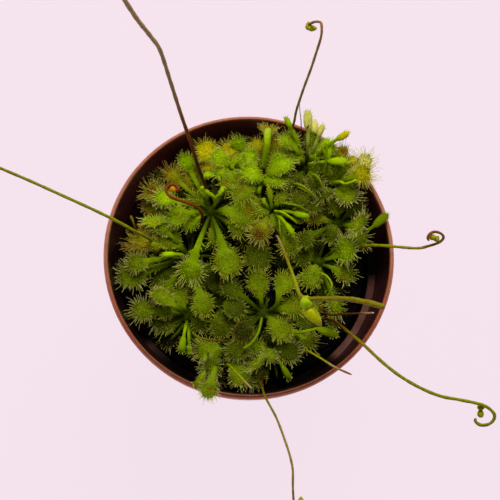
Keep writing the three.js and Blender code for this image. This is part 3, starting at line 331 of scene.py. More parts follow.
class SundewLeaves(bpy.types.PropertyGroup):
    """The leaves' colours and the tentacles' sizes."""

    tentacle: length("Tentacle", "Length of a tentacle on the margin", 1.35)
    tentacle_root: length("Tentacle root", "Radius of a tentacle where it leaves the blade", 0.11)
    dew: length("Dew", "Radius of the drop on a tentacle", 0.075)
    heart: colour("Crown", "Crowns and the feet of the leaf stalks", (58, 74, 3))
    stalk: colour("Leaf stalk", "Leaf stalks where they reach the blade", (126, 156, 2))
    bright: colour("Bright blade", "Young blades", (160, 200, 1))
    green: colour("Green blade", "Full grown blades", (115, 141, 1))
    rust: colour("Sunned blade", "Blades that the sun has turned yellow", (138, 142, 4))
    yellow: colour("Yellow blade", "Blades that stand in full light", (206, 200, 8))
    # Partly painted shade: darker blades for leaves that sit in the clump's shade, as well as older ones.
    olive: colour("Shaded blade", "Blades that are past their best", (73, 89, 1))
    dead: colour("Dead blade", "Old leaves under the clump", (42, 50, 6))
    drowned: colour("Drowned blade", "Leaves that rot on the peat", (44, 46, 32))
    cream: colour("Faded blade", "Young blades that the light has bleached", (230, 228, 128))
    tanned: colour("Tanned blade", "Blades round a scorched middle", (140, 142, 14))
    scorched: colour("Scorched middle", "Middle of a blade that has turned red-brown", (112, 54, 22))
    # Painted highlight: the whitish glint of light on the tentacle tips.
    glinting: colour("Frosted tentacle", "Tips of the tentacles that face the light", (250, 244, 164))
    rusty_rim: colour("Rusty rim", "Margin of a sunned blade", (156, 88, 24))
    pale: colour("Pale tentacle", "Tips of the tentacles on the margin", (222, 236, 76))
    ruddy: colour("Ruddy tentacle", "Tentacles on a sunned blade", (196, 124, 56))


class SundewStalks(bpy.types.PropertyGroup):
    """The flower stalks' and buds' colours."""

    umber: colour("Umber stalk", "Foot of an old stalk", (74, 36, 14))
    ruddy: colour("Ruddy stalk", "Stalk that the sun has turned red-brown", (132, 66, 26))
    olive: colour("Olive stalk", "Green-brown stalk", (128, 120, 8))
    tan: colour("Tan stalk", "Dry stalk", (166, 142, 96))
    green: colour("Green stalk", "Fresh stalk", (146, 152, 8))
    leafy: colour("Leafy stalk", "Curled stalk of a young leaf", (128, 156, 4))
    bud: colour("Bud", "Calyx of a bud", (160, 168, 10))
    sprout: colour("Sprout", "Young leaves that are still curled", (156, 190, 6))
    plump: colour("Plump bud", "Bud that is about to open", (186, 196, 4))
    amber: colour("Amber bud", "Bud that the sun has turned orange", (208, 150, 14))
    bud_tip: colour("Bud tip", "Point of a bud", (160, 132, 52))
    drop: colour("Drop", "Dried drop of sap", (204, 190, 182))


class SundewStage(bpy.types.PropertyGroup):
    """The floor, the lights and the camera."""

    floor: colour("Floor", "Pale floor", (244, 226, 237))
    warm: colour("Warm light", "Colour of the lights", (255, 245, 222))
    lens: FloatProperty(name="Lens", description="Focal length on a 36 mm sensor, in millimetres",
                        default=91.01, min=1)
    glow: FloatProperty(name="Floor glow", description="Light that the floor gives off itself",
                        default=0.975, min=0)
    sky: FloatProperty(name="Sky", description="Strength of the even light from all sides",
                       default=0.13, min=0)
    key: FloatProperty(name="Key light", description="Power of the large soft light", default=2.3,
                       min=0, unit="POWER")
    strip: FloatProperty(name="Strip light", description="Power of the narrow window light",
                         default=0.3, min=0, unit="POWER")


# ---------------------------------------------------------------- small sums
def unit(vectors):
    """Vectors scaled to length 1."""
    vectors = np.asarray(vectors, float)
    return vectors / np.maximum(np.linalg.norm(vectors, axis=-1, keepdims=True), 1e-12)


def draw(seed):
    """A repeatable draw between 0 and 1: the fraction of a large multiple of a sine."""
    wave = np.sin(seed * 12.9898) * 43758.5453
    return wave - np.floor(wave)


def mm(group, *names):
    """Lengths of a property group in millimetres."""
    lengths = [getattr(group, name) / MM for name in names]
    return lengths if len(lengths) > 1 else lengths[0]


def tone(value):
    """A colour property as an array."""
    return np.array(value[:], float)


def blend(one, other, part):
    """Straight mix of two colours or places, part by part."""
    part = np.asarray(part, float)[..., None]
    return one * (1 - part) + other * part


def smooth(values, low, high):
    """0 below low and 1 above high, with a smooth step between."""
    part = np.clip((values - low) / (high - low), 0, 1)
    return part * part * (3 - 2 * part)


def ripple(x, y, size, seed):
    """Soft noise between -1 and 1: five sines of about that wavelength in scattered directions."""
    total = np.zeros_like(np.asarray(x, float))
    for wave in range(5):
        turn = 2 * math.pi * draw(seed + 3.1 * wave)
        pitch = 2 * math.pi / (size * (0.7 + 0.7 * draw(seed + 7.7 * wave)))
        phase = 2 * math.pi * draw(seed + 1.9 * wave)
        total = total + np.sin(pitch * (x * math.cos(turn) + y * math.sin(turn)) + phase)
    return total / 5


# ---------------------------------------------------------------- surfaces
def grid_faces(count, rows, columns):
    """Faces of count tubes of rows rings with columns points: quads between rings, and two end caps."""
    tube = np.arange(count)[:, None, None] * rows
    row = np.arange(rows - 1)[None, :, None]
    column = np.arange(columns)[None, None, :]
    near = (tube + row) * columns
    far = near + columns
    after = (column + 1) % columns
    quads = np.stack([near + column, near + after, far + after, far + column], axis=-1).reshape(-1, 4)
    ring = np.arange(columns)
    first = np.arange(count)[:, None] * rows * columns
    start = first + ring[::-1]
    end = first + (rows - 1) * columns + ring
    return [quads, np.concatenate([start, end])]


def tubes(paths, radii, sides, fixed):
    """Round bars along paths of k points: a ring's point is the path's point plus the radius times
    (cos a times left + sin a times over), where left is the fixed direction made square to the path."""
    heading = unit(np.gradient(paths, axis=1))
    fixed = np.broadcast_to(fixed, heading.shape)
    left = unit(fixed - np.sum(fixed * heading, axis=-1, keepdims=True) * heading)
    over = np.cross(heading, left)
    turn = 2 * math.pi * np.arange(sides) / sides
    ring = left[:, :, None] * np.cos(turn)[:, None] + over[:, :, None] * np.sin(turn)[:, None]
    points = paths[:, :, None] + np.asarray(radii)[:, :, None, None] * ring
    return points.reshape(-1, 3), grid_faces(len(paths), paths.shape[1], sides)


def lathe(profile, sides):
    """A profile of radius and height turned about Z: (radius cos a, radius sin a, height)."""
    profile = np.asarray(profile, float)
    turn = 2 * math.pi * np.arange(sides) / sides
    ring = np.stack([np.cos(turn), np.sin(turn), np.zeros(sides)], axis=-1)
    points = profile[:, None, :1] * ring[None] + profile[:, None, 1:] * np.array([0, 0, 1.0])
    return points.reshape(-1, 3), grid_faces(1, len(profile), sides)


class Shell:
    """Points, colours and faces gathered for one piece, in millimetres."""

    def __init__(self):
        self.points, self.tints, self.faces, self.count = [], [], [], 0

    def add(self, surface, tint, finish=0, wear=1.0):
        """Takes points and blocks of their faces, with one colour and wear for all or one for each point,
        and one finish for all or one for each block."""
        points, faces = surface
        self.points.append(points)
        worn = np.broadcast_to(wear, (len(points),))[:, None]
        self.tints.append(np.hstack([np.broadcast_to(tint, points.shape), worn]))
        for block, number in zip(faces, np.broadcast_to(finish, (len(faces),))):
            self.faces.append((block + self.count, number))
        self.count += len(points)

    def welded(self):
        """Makes points that lie in the same place one point."""
        points, tints = np.concatenate(self.points), np.concatenate(self.tints)
        _, kept, numbers = np.unique(np.round(points, 4), axis=0, return_index=True, return_inverse=True)
        numbers = numbers.ravel()
        self.points, self.tints = [points[kept]], [tints[kept]]
        self.faces = [(numbers[block], finish) for block, finish in self.faces]
        return self

    def mesh(self, name):
        """The mesh, in metres, with its colours and the number of each face's finish."""
        mesh = bpy.data.meshes.new(name)
        points = np.concatenate(self.points) * MM
        corners = np.concatenate([block.ravel() for block, _ in self.faces]).astype(np.int32)
        sizes = np.concatenate([np.full(len(block), block.shape[1], np.int32) for block, _ in self.faces])
        numbers = np.concatenate([np.full(len(block), finish, np.int32) for block, finish in self.faces])
        mesh.vertices.add(len(points))
        mesh.vertices.foreach_set("co", points.ravel())
        mesh.loops.add(len(corners))
        mesh.loops.foreach_set("vertex_index", corners)
        mesh.polygons.add(len(sizes))
        mesh.polygons.foreach_set("loop_start", (np.cumsum(sizes) - sizes).astype(np.int32))
        mesh.polygons.foreach_set("loop_total", sizes)
        mesh.polygons.foreach_set("material_index", numbers)
        mesh.polygons.foreach_set("use_smooth", np.ones(len(sizes), bool))
        tint = mesh.attributes.new("tint", "FLOAT_COLOR", "POINT")
        tint.data.foreach_set("color", np.concatenate(self.tints).ravel())
        return mesh

    def piece(self, name, finishes, slot, stands_for=()):
        """Makes the mesh with its finishes and hangs it on the body."""
        mesh = self.mesh(name)
        for finish in finishes:
            mesh.materials.append(finish)
        mesh.update(calc_edges=True)
        mesh.validate()
        made = bpy.data.objects.new(name, mesh)
        bpy.context.scene.collection.objects.link(made)
        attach(made, BODY)
        if stands_for:
            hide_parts(*stands_for)


# ---------------------------------------------------------------- finishes
class Wire:
    """A node's output that Python arithmetic works on: each operation adds its Math node."""

    def __init__(self, finish, socket):
        self.finish, self.socket = finish, socket

    def maths(self, operation, *values):
        """Adds a Math node for the operation on the values."""
        return self.finish.node("ShaderNodeMath", {"operation": operation}, dict(enumerate(values)))

    def __add__(self, other):
        return self.maths("ADD", self, other)

    def __mul__(self, other):
        return self.maths("MULTIPLY", self, other)

    __radd__, __rmul__ = __add__, __mul__

    def within(self, low, high):
        """0 below low and 1 above high."""
        return self.finish.node("ShaderNodeMapRange", {"interpolation_type": "SMOOTHSTEP"}, {
            "Value": self, "From Min": low, "From Max": high})


class Finish:
    """A material whose pattern is written as expressions; constants go on the shader itself."""

    def __init__(self, name, constants):
        self.material = bpy.data.materials.new(name)
        self.material.use_nodes = True
        self.tree = self.material.node_tree
        self.shader = self.tree.nodes["Principled BSDF"]
        for socket, value in constants.items():
            self.shader.inputs[socket].default_value = value
        self.places = self.node("ShaderNodeTexCoord", {}, {}, "Object")

    def node(self, kind, settings, inputs, output=0):
        """Adds a node of that type, with its settings first and then its sockets' values or links."""
        node = self.tree.nodes.new(kind)
        for name, value in settings.items():
            setattr(node, name, value)
        for name, value in inputs.items():
            if isinstance(value, Wire):
                self.tree.links.new(value.socket, node.inputs[name])
            else:
                node.inputs[name].default_value = value
        return Wire(self, node.outputs[output])

    def noise(self, size, detail, stretch=(1, 1, 1)):
        """Soft noise whose features are about that many millimetres across, drawn out where stretch is
        below 1."""
        places = self.node("ShaderNodeMapping", {}, {"Vector": self.places, "Scale": stretch})
        return self.node("ShaderNodeTexNoise", {}, {
            "Vector": places, "Scale": 1 / (size * MM), "Detail": detail})

    def cells(self, size):
        """Distance to the nearest of scattered points that lie about that many millimetres apart."""
        return self.node("ShaderNodeTexVoronoi", {}, {
            "Vector": self.places, "Scale": 1 / (size * MM)}, "Distance")

    def tint(self, part="Color"):
        """The colour that each point of the mesh carries, or with Alpha how much wear it shows."""
        return self.node("ShaderNodeAttribute", {"attribute_name": "tint"}, {}, part)

    def mix(self, part, one, other, way="MIX"):
        """One colour turned into another by a part from 0 to 1."""
        factor, first, second, result = 0, 6, 7, 2
        return self.node("ShaderNodeMix", {"data_type": "RGBA", "blend_type": way}, {
            factor: part, first: opaque(one), second: opaque(other)}, result)

    def shaded(self, part, tint, share):
        """A colour that turns, by a part from 0 to 1, into shares of its own red, green and blue."""
        return self.mix(part, tint, self.mix(1.0, tint, share, "MULTIPLY"))

    def bump(self, height, depth):
        """Normals for a relief of that many millimetres."""
        return self.node("ShaderNodeBump", {}, {"Height": height, "Distance": depth * MM}, "Normal")

    def coat(self, **wires):
        """Links wires to the shader, and gives the material."""
        for name, wire in wires.items():
            self.tree.links.new(wire.socket, self.shader.inputs[name.replace("_", " ")])
        return self.material


def opaque(value):
    """A plain colour gets its fourth number; a wire stays as it is."""
    return value if isinstance(value, Wire) else (*value[:3], 1)


def pot_finish(pot):
    """Terracotta plastic: scratched and dulled in patches where it is worn, and mottled with stain."""
    finish = Finish("pot_plastic", {"Specular IOR Level": 0.28, "IOR": 1.48})
    wear = finish.tint("Alpha")
    blotches = finish.noise(7, 4).within(0.42, 0.68)
    scratches = finish.noise(0.5, 3, (1, 1, 0.12)).within(0.56, 0.72)
    worn = finish.mix((scratches * 0.3 + blotches * 0.1) * wear, finish.tint(), pot.scuffs_and_sheen)
    mottled = finish.mix(finish.noise(2.2, 3).within(0.35, 0.75) * 0.22, worn, pot.stain_and_shade)
    rough = 0.3 + 0.16 * scratches + 0.14 * blotches
    relief = finish.noise(0.35, 2) * 0.5 + finish.noise(4, 2)
    return finish.coat(Base_Color=mottled, Roughness=rough, Normal=finish.bump(relief, 0.05))


def peat_finish(peat):
    """Wet peat: fibres with paler crests, and patches of a thin film of moss."""
    finish = Finish("wet_peat", {"IOR": 1.4, "Specular IOR Level": 0.12})
    crumb = finish.cells(0.8)
    fibre = finish.noise(0.25, 4, (1, 0.3, 1))
    mossy = finish.noise(9, 3).within(0.52, 0.66)
    crests = finish.mix(fibre.within(0.45, 0.75), finish.tint(), peat.drained)
    filmed = finish.mix(mossy * 0.45, crests, peat.moss)
    rough = 0.45 + 0.35 * finish.noise(3, 2).within(0.35, 0.6)
    return finish.coat(
        Base_Color=filmed, Roughness=rough, Normal=finish.bump(crumb * 0.6 + fibre * 0.6, 0.5))


def leaf_finish():
    """Leaf tissue: fleshy and wet, dotted with painted shadows between the tentacles."""
    finish = Finish("leaf_tissue", {
        "Subsurface Weight": 0.4, "Subsurface Radius": (0.8, 1.0, 0.05), "Subsurface Scale": 1.2 * MM,
        "Specular IOR Level": 0.12, "Specular Tint": (0.85, 1.0, 0.25, 1), "IOR": 1.42})
    tint, fleck = finish.tint(), finish.tint("Alpha")
    cloud = finish.noise(1.8, 3).within(0.35, 0.7)
    # Painted shade: dark dots that stand for the shadows between the tentacles.
    tentacle_shadows = finish.noise(0.32, 2).within(0.42, 0.66)
    dark = finish.mix(1.0, tint, (0.34, 0.4, 0.3), "MULTIPLY")
    clouded = finish.mix(cloud * 0.35, tint, dark)
    shadow_dotted = finish.mix(tentacle_shadows * fleck * 0.8, clouded, dark)
    relief = finish.noise(0.5, 3) * (0.3 + 0.7 * fleck)
    rough = 0.36 + 0.22 * cloud
    return finish.coat(Base_Color=shadow_dotted, Roughness=rough, Normal=finish.bump(relief, 0.3))


def tentacle_finish():
    """Tentacles: thin, glassy hairs that pass light on."""
    finish = Finish("tentacle", {
        "Subsurface Weight": 0.2, "Subsurface Radius": (0.6, 0.7, 0.3), "Subsurface Scale": 0.3 * MM,
        "Specular IOR Level": 0.2, "IOR": 1.4})
    shade = finish.noise(0.9, 2).within(0.3, 0.7)
    dulled = finish.shaded(shade * 0.5, finish.tint(), (0.66, 0.68, 0.6))
    return finish.coat(Base_Color=dulled, Roughness=0.3 + 0.2 * shade)


def dew_finish():
    """Sticky drops: glossy and a little clear."""
    finish = Finish("dew", {
        "Roughness": 0.08, "IOR": 1.36, "Coat Weight": 0.2, "Coat Roughness": 0.04,
        "Specular IOR Level": 0.15, "Transmission Weight": 0.1})
    cloud = finish.noise(0.6, 2).within(0.3, 0.7)
    return finish.coat(Base_Color=finish.shaded(cloud, finish.tint(), (0.86, 0.84, 0.76)))


def stalk_finish():
    """Flower stalks and buds: smooth skin with fine upright streaks."""
    finish = Finish("stalk_skin", {
        "Subsurface Weight": 0.1, "Subsurface Radius": (0.5, 0.5, 0.05), "Subsurface Scale": 0.5 * MM,
        "Specular IOR Level": 0.12, "Specular Tint": (1.0, 0.9, 0.5, 1)})
    streaks = finish.noise(0.5, 3, (1, 1, 0.2)).within(0.4, 0.7)
    streaked = finish.shaded(streaks * 0.5, finish.tint(), (0.5, 0.45, 0.4))
    rough = 0.42 + 0.2 * streaks
    return finish.coat(Base_Color=streaked, Roughness=rough, Normal=finish.bump(streaks, 0.04))


def floor_finish(stage):
    """Plain pale paper that gives off its own light and reflects hardly any, so that no shadow shows much."""
    pale = stage.floor[:]
    finish = Finish("pale_floor", {
        "Base Color": opaque([0.04 * value for value in pale]), "Specular IOR Level": 0.0,
        "Emission Color": opaque(pale), "Emission Strength": stage.glow})
    grain = finish.noise(4, 2)
    return finish.coat(Roughness=0.85 + 0.1 * grain)


# ---------------------------------------------------------------- pot
DRAIN = {"holes": 6, "arc": 16, "depth": 8}     # drain holes, and the steps round the plate of each
BEND_STEPS = 5                                  # points in a bend of the wall's outline
WALL_PITCH = 0.7                                # the longest stretch between two points of the outline
# Painted highlights on the ledge: from and to in degrees from east, how soft their ends are, and how strong.
LEDGE_HIGHLIGHTS = ((-50, -5, 5, 1.0), (-142, -134, 3, 0.4))
# How painted light and shade spread round the pot: daylight through the inner wall, shade on the inner wall
# and on the rim's edge at the south, and sheen on the rim's edge, none at the south and less at the north;
# each as the northing, from -1 at the south to 1 at the north, where it begins and where it is full, and how
# strong it then is.
DAYLIGHT, GLOOM, SOUTH_RIM_SHADE, RIM_SHEEN, NORTH_SHEEN_LOSS = (
    (-0.05, 0.9, 1.0), (-0.2, -0.8, 0.6), (-0.2, -0.9, 0.7), (-0.6, 0.2, 0.75), (0.4, 0.9, 0.35))
INNER_WEAR = 0.05                               # how much wear the inner wall shows


def pot_inner_radius(z):
    """Inner radius: a cone from foot to mouth that steps in by the ledge's step under the ledge."""
    pot = bpy.context.scene.sundew_pot
    foot, wall, mouth, step, ledge, floor, height = mm(
        pot, "foot", "wall", "mouth", "ledge_step", "ledge", "floor", "height")
    low = foot - wall
    high = mouth - np.where(np.asarray(z) < ledge, step, 0)
    return low + (high - low) * np.minimum(1, (z - floor) / (height - floor))


def rounded(start, corner, end, radius):
    """A bend at a corner: a quadratic curve that begins and ends that radius away from it."""
    start, corner, end = (np.array(place, float) for place in (start, corner, end))
    enter = corner + unit(start - corner) * radius
    leave = corner + unit(end - corner) * radius
    part = np.linspace(0, 1, BEND_STEPS)[:, None]
    return (1 - part) ** 2 * enter + 2 * part * (1 - part) * corner + part ** 2 * leave


def outline(places, radii):
    """An outline through places with each inner corner rounded off by its radius."""
    bends = [rounded(places[i - 1], places[i], places[i + 1], radii[i]) for i in range(1, len(places) - 1)]
    return np.concatenate([[places[0]], *bends, [places[-1]]])


def pot_walls(pot):
    """The pot's outline from the drained ring underneath, up outside, over the rim and down inside."""
    rim, mouth, height, foot, wall, floor, skirt, lip, ledge, step, ring, hole = mm(
        pot, "rim", "mouth", "height", "foot", "wall", "floor", "skirt", "lip", "ledge", "ledge_step",
        "drain_ring", "drain_hole")
    low, high, skirt_top = (
        (float(pot_inner_radius(z)) + wall, z) for z in (ledge - 1, ledge + 1, height - skirt))
    inside = float(pot_inner_radius(ledge))
    plate = ring + 2 * hole
    bends = [0, 0.6, 0.3, 0.3, 0.3, 0.3, 0.25, 0.2, 0.25, 0.15, 0.15, 0.6, 0]
    return outline([
        (plate, 0), (foot, 0), low, high, skirt_top,
        (rim - lip / 4, height - skirt), (rim, height - lip), (rim - lip / 2, height), (mouth, height),
        (inside, ledge), (inside - step, ledge - step), (foot - wall, floor), (plate, floor),
    ], bends)


def finer(places, pitch):
    """An outline with points added on its long stretches, no further apart than the pitch."""
    steps = np.maximum(1, np.ceil(np.linalg.norm(np.diff(places, axis=0), axis=1) / pitch)).astype(int)
    starts = np.repeat(np.arange(len(steps)), steps)
    part = (np.arange(len(starts)) - np.repeat(np.cumsum(steps) - steps, steps)) / np.repeat(steps, steps)
    added = places[starts] + part[:, None] * (places[starts + 1] - places[starts])
    return np.concatenate([added, places[-1:]])


def sector_edge(low, high, middle):
    """The edge of one hole's plate, from its outer arc round to its inner arc and back."""
    arc, depth, width = DRAIN["arc"], DRAIN["depth"], math.pi / DRAIN["holes"]
    turns = middle + width * np.concatenate([
        np.linspace(-1, 1, arc, endpoint=False), np.ones(depth), np.linspace(1, -1, arc, endpoint=False),
        -np.ones(depth)])
    radii = np.concatenate([
        np.full(arc, high), np.linspace(high, low, depth, endpoint=False), np.full(arc, low),
        np.linspace(low, high, depth, endpoint=False)])
    return np.stack([radii * np.cos(turns), radii * np.sin(turns)], axis=-1)


def drained_plate(shell, pot, tint):
    """The ring of the base with its holes: each hole's circle is joined to the edge of its sector by
    straight lines, above and below, and the two circles by the hole's wall."""
    ring, radius, floor = mm(pot, "drain_ring", "drain_hole", "floor")
    low, high = ring - 2 * radius, ring + 2 * radius
    for hole in range(DRAIN["holes"]):
        turn = 2 * math.pi * hole / DRAIN["holes"]
        middle = ring * np.array([math.cos(turn), math.sin(turn)])
        edge = sector_edge(low, high, turn)
        circle = middle + radius * unit(edge - middle)
        between = 0.4 * edge + 0.6 * circle
        rows = [(edge, 0), (between, 0), (circle, 0), (circle, floor), (between, floor), (edge, floor)]
        points = np.concatenate([np.c_[row, np.full(len(row), z)] for row, z in rows])
        quads, _ = grid_faces(1, len(rows), len(edge))
        shell.add((points, [quads]), tint)


def discs(shell, pot, tint):
    """The middle of the base, below and above."""
    ring, radius, floor = mm(pot, "drain_ring", "drain_hole", "floor")
    edge = ring - 2 * radius
    points, (_, caps) = lathe([(edge, 0), (edge, floor)], DRAIN["holes"] * DRAIN["arc"])
    shell.add((points, [caps]), tint)


def facing(north, spread):
    """How strong a tone is at a northing: 0 where it begins, and smoothly up to its strength."""
    begins, full, strength = spread
    return strength * smooth(north, begins, full)


def ledge_highlight(points):
    """How strongly the ledge's painted highlight shows, by the bearing in degrees from east: patches with
    soft ends.
    """
    bearing = np.degrees(np.arctan2(points[:, 1], points[:, 0]))
    streaks = 0.82 + 0.18 * np.sin(0.9 * bearing) * np.sin(0.37 * bearing + 1)
    return streaks * sum(part * smooth(bearing, low, low + ends) * smooth(-bearing, -high, ends - high)
                         for low, high, ends, part in LEDGE_HIGHLIGHTS)


def inner_tints(pot, points, north, inner):
    """The inner wall: dark plastic, partly wet stain and partly painted shade, with painted daylight shining
    through above the ledge, most at the north; painted shade below the ledge and at the south; and a painted
    highlight in patches on the ledge."""
    ledge, step = mm(pot, "ledge", "ledge_step")
    height, highlight = points[:, 2], ledge_highlight(points)
    # Painted daylight through the wall above the ledge, also round the ledge's painted highlight.
    through = np.maximum(facing(north, DAYLIGHT), 0.3 * highlight) * smooth(height, ledge - 6, ledge)
    inside = blend(tone(pot.stain_and_shade), tone(pot.lit), through)
    # Painted shade: darker just under the ledge, and towards the south.
    inside *= 1 - 0.85 * smooth(ledge + 1.2 - height, 0, 1.2)[:, None]
    inside *= 1 - facing(north, GLOOM)[:, None]
    # Painted highlight in patches on the ledge.
    on_ledge = inner * (np.abs(height - ledge + step / 2) < 0.51 * step)
    return blend(inside, tone(pot.glossy), on_ledge * highlight)


def wall_tints(pot, rings, sides, points):
    """The outer wall, with painted shade along the rim's edge at the south and painted light glowing on the
    rim's outside, runs into the inner wall just under the rim's top, and the edge is lighter, partly by
    scuffs and partly by painted sheen, none at the south and less at the north; and how much wear each point
    shows. The inner wall's rings are those that come after the rim's top."""
    rim, top = mm(pot, "rim", "height")
    height, spread = points[:, 2], np.hypot(points[:, 0], points[:, 1])
    north = points[:, 1] / np.maximum(spread, 1)
    inner = np.repeat(np.arange(len(rings)) > np.flatnonzero(rings[:, 1] > top - 0.01)[-1], sides)
    # How far the inner wall's colours take over: wet stain with painted shade and painted daylight.
    stain = np.where(inner, smooth(top - height, 0.02, 1.0), 0)
    edge = smooth(height, top - 0.9, top - 0.2)
    # Painted shade along the rim's edge at the south.
    outer = blend(tone(pot.plastic), tone(pot.shaded_rim), edge * facing(north, SOUTH_RIM_SHADE))
    # Painted light glowing on the outside of the rim.
    outer = blend(outer, tone(pot.glowing), smooth(spread, rim - 0.5, rim - 0.2))
    tints = blend(outer, inner_tints(pot, points, north, inner), stain)
    # Partly real scuffs, partly painted sheen: the rim's edge is lighter by bearing, none at the south and
    # less at the north.
    worn = edge * (1 - stain) * (facing(north, RIM_SHEEN) - facing(north, NORTH_SHEEN_LOSS))
    return blend(tints, tone(pot.scuffs_and_sheen), worn), np.where(inner, INNER_WEAR, 1.0)


def build_pot(scene):
    """The pot: turned walls and a base with drain holes, welded into one closed shell."""
    pot = scene.sundew_pot
    shell = Shell()
    rings, sides = finer(pot_walls(pot), WALL_PITCH), DRAIN["holes"] * DRAIN["arc"]
    points, (quads, _) = lathe(rings, sides)
    tints, wear = wall_tints(pot, rings, sides, points)
    shell.add((points, [quads]), tints, wear=wear)
    drained_plate(shell, pot, tone(pot.plastic))
    discs(shell, pot, tone(pot.plastic))
    shell.welded().piece("nursery_pot", [pot_finish(pot)], "pot_plastic", ["pot"])


# ---------------------------------------------------------------- peat
# The mound's mesh: points in a ring, rings, its smallest ring as a share of the widest, how wide its level
# edge is, and how far its surface lies under the height that the crumbs stand on.
MOUND = {"sides": 168, "rings": 52, "smallest": 0.02, "level": 0.6, "under": 0.15}
# Crumbs: points in a ring and rings of a crumb, the clear edge, the smallest radius and how much it grows,
# how high a crumb stands, and how far it is dented and stretched.
CRUMB = {"sides": 6, "rows": 5, "margin": 1.2, "small": 0.22, "growth": 0.45, "stands": 0.15,
         "dents": (0.65, 1.2), "stretch": (0.6, 1.4)}


def soil_height(x, y):
    """The mound: a low dome, (1 - (radius / reach) squared) of its crown, with gentle lumps."""
    edge, crown, reach, lump = mm(bpy.context.scene.sundew_peat, "edge", "crown", "reach", "lump")
    out = np.hypot(x, y) / reach
    lumps = np.sin(0.45 * x + 0.8) * np.cos(0.4 * y - 0.3)
    return edge + crown * np.maximum(0, 1 - out * out) + lump * lumps


def crumbled(x, y):
    """The mound's height with ripples of three sizes on it."""
    rough = 0.35 * ripple(x, y, 4.5, 3) + 0.22 * ripple(x, y, 1.9, 11) + 0.12 * ripple(x, y, 0.9, 29)
    return soil_height(x, y) + rough


def build_peat(scene):
    """The peat: rings of a circle at the crumbled height, closed by a wall and a flat underside."""
    peat, floor = scene.sundew_peat, mm(scene.sundew_pot, "floor")
    sides, smallest = MOUND["sides"], MOUND["smallest"]
    top_radius = float(pot_inner_radius(mm(peat, "edge"))) - GAP
    floor_radius = float(pot_inner_radius(floor)) - GAP
    shares = np.linspace(1, smallest, MOUND["rings"])
    radii = np.concatenate([[smallest * floor_radius, floor_radius], top_radius * shares])
    points, faces = lathe(np.c_[radii, np.full(len(radii), floor)], sides)
    top = points[2 * sides:]
    x, y = top[:, 0], top[:, 1]
    settle = smooth(top_radius - np.hypot(x, y), 0, MOUND["level"])
    top[:, 2] = soil_height(x, y) * (1 - settle) + crumbled(x, y) * settle - MOUND["under"]
    shell = Shell()
    crest = smooth(ripple(points[:, 0], points[:, 1], 2.4, 5), 0.1, 0.5)
    shell.add((points, faces), blend(tone(peat.wet), tone(peat.drained), 0.35 * crest))
    add_crumbs(shell, peat, top_radius)
    shell.piece("peat", [peat_finish(peat)], "peat", ["soil"])


def add_crumbs(shell, peat, reach):
    """Loose crumbs: small balls, each point pushed in or out by a draw, half sunk in the peat."""
    random = np.random.default_rng(SEEDS["crumbs"])
    count, sides, rows = peat.crumbs, CRUMB["sides"], CRUMB["rows"]
    turn = 2 * math.pi * np.arange(sides) / sides
    lift = np.linspace(-0.5 * math.pi, 0.5 * math.pi, rows + 2)[1:-1, None]
    ball = np.stack(np.broadcast_arrays(
        np.cos(lift) * np.cos(turn), np.cos(lift) * np.sin(turn), np.sin(lift)), axis=-1)
    spread = (reach - CRUMB["margin"]) * np.sqrt(random.random(count))
    spin = 2 * math.pi * random.random(count)
    x, y = spread * np.cos(spin), spread * np.sin(spin)
    size = CRUMB["small"] + CRUMB["growth"] * random.random(count) ** 3
    dents = random.uniform(*CRUMB["dents"], (count, rows, sides, 1))
    shape = dents * random.uniform(*CRUMB["stretch"], (count, 1, 1, 3))
    middle = np.stack([x, y, crumbled(x, y) + CRUMB["stands"] * size], axis=-1)
    points = middle[:, None, None] + size[:, None, None, None] * shape * ball
    shade = blend(tone(peat.wet), tone(peat.drained), random.random(count) ** 2)
    tints = np.repeat(shade, rows * sides, axis=0)
    shell.add((points.reshape(-1, 3), grid_faces(count, rows, sides)), tints)


# ---------------------------------------------------------------- the leaves' places
def tip_glint(x, y):
    """How strongly the tentacle tips of a blade at that place are painted with a whitish glint: more away
    from the axis, less at the north.
    """
    if (x, y) in SHAGGY:
        return 1.0
    north = smooth(y, TIP_GLINT["south"], TIP_GLINT["north"])
    outer = smooth(math.hypot(x, y), TIP_GLINT["near"], TIP_GLINT["far"]) * (1 - TIP_GLINT["loss"] * north)
    return float(TIP_GLINT["most"] * outer)


def balls_at(places, radius):
    """Balls as x, y, z and radius, with one radius for all or one for each place."""
    places = np.atleast_2d(places)
    return np.c_[places, np.broadcast_to(radius, len(places))]


def upright(x, y, heights):
    """Points at heights over one place."""
    return np.stack(np.broadcast_arrays(x, y, heights), axis=-1)


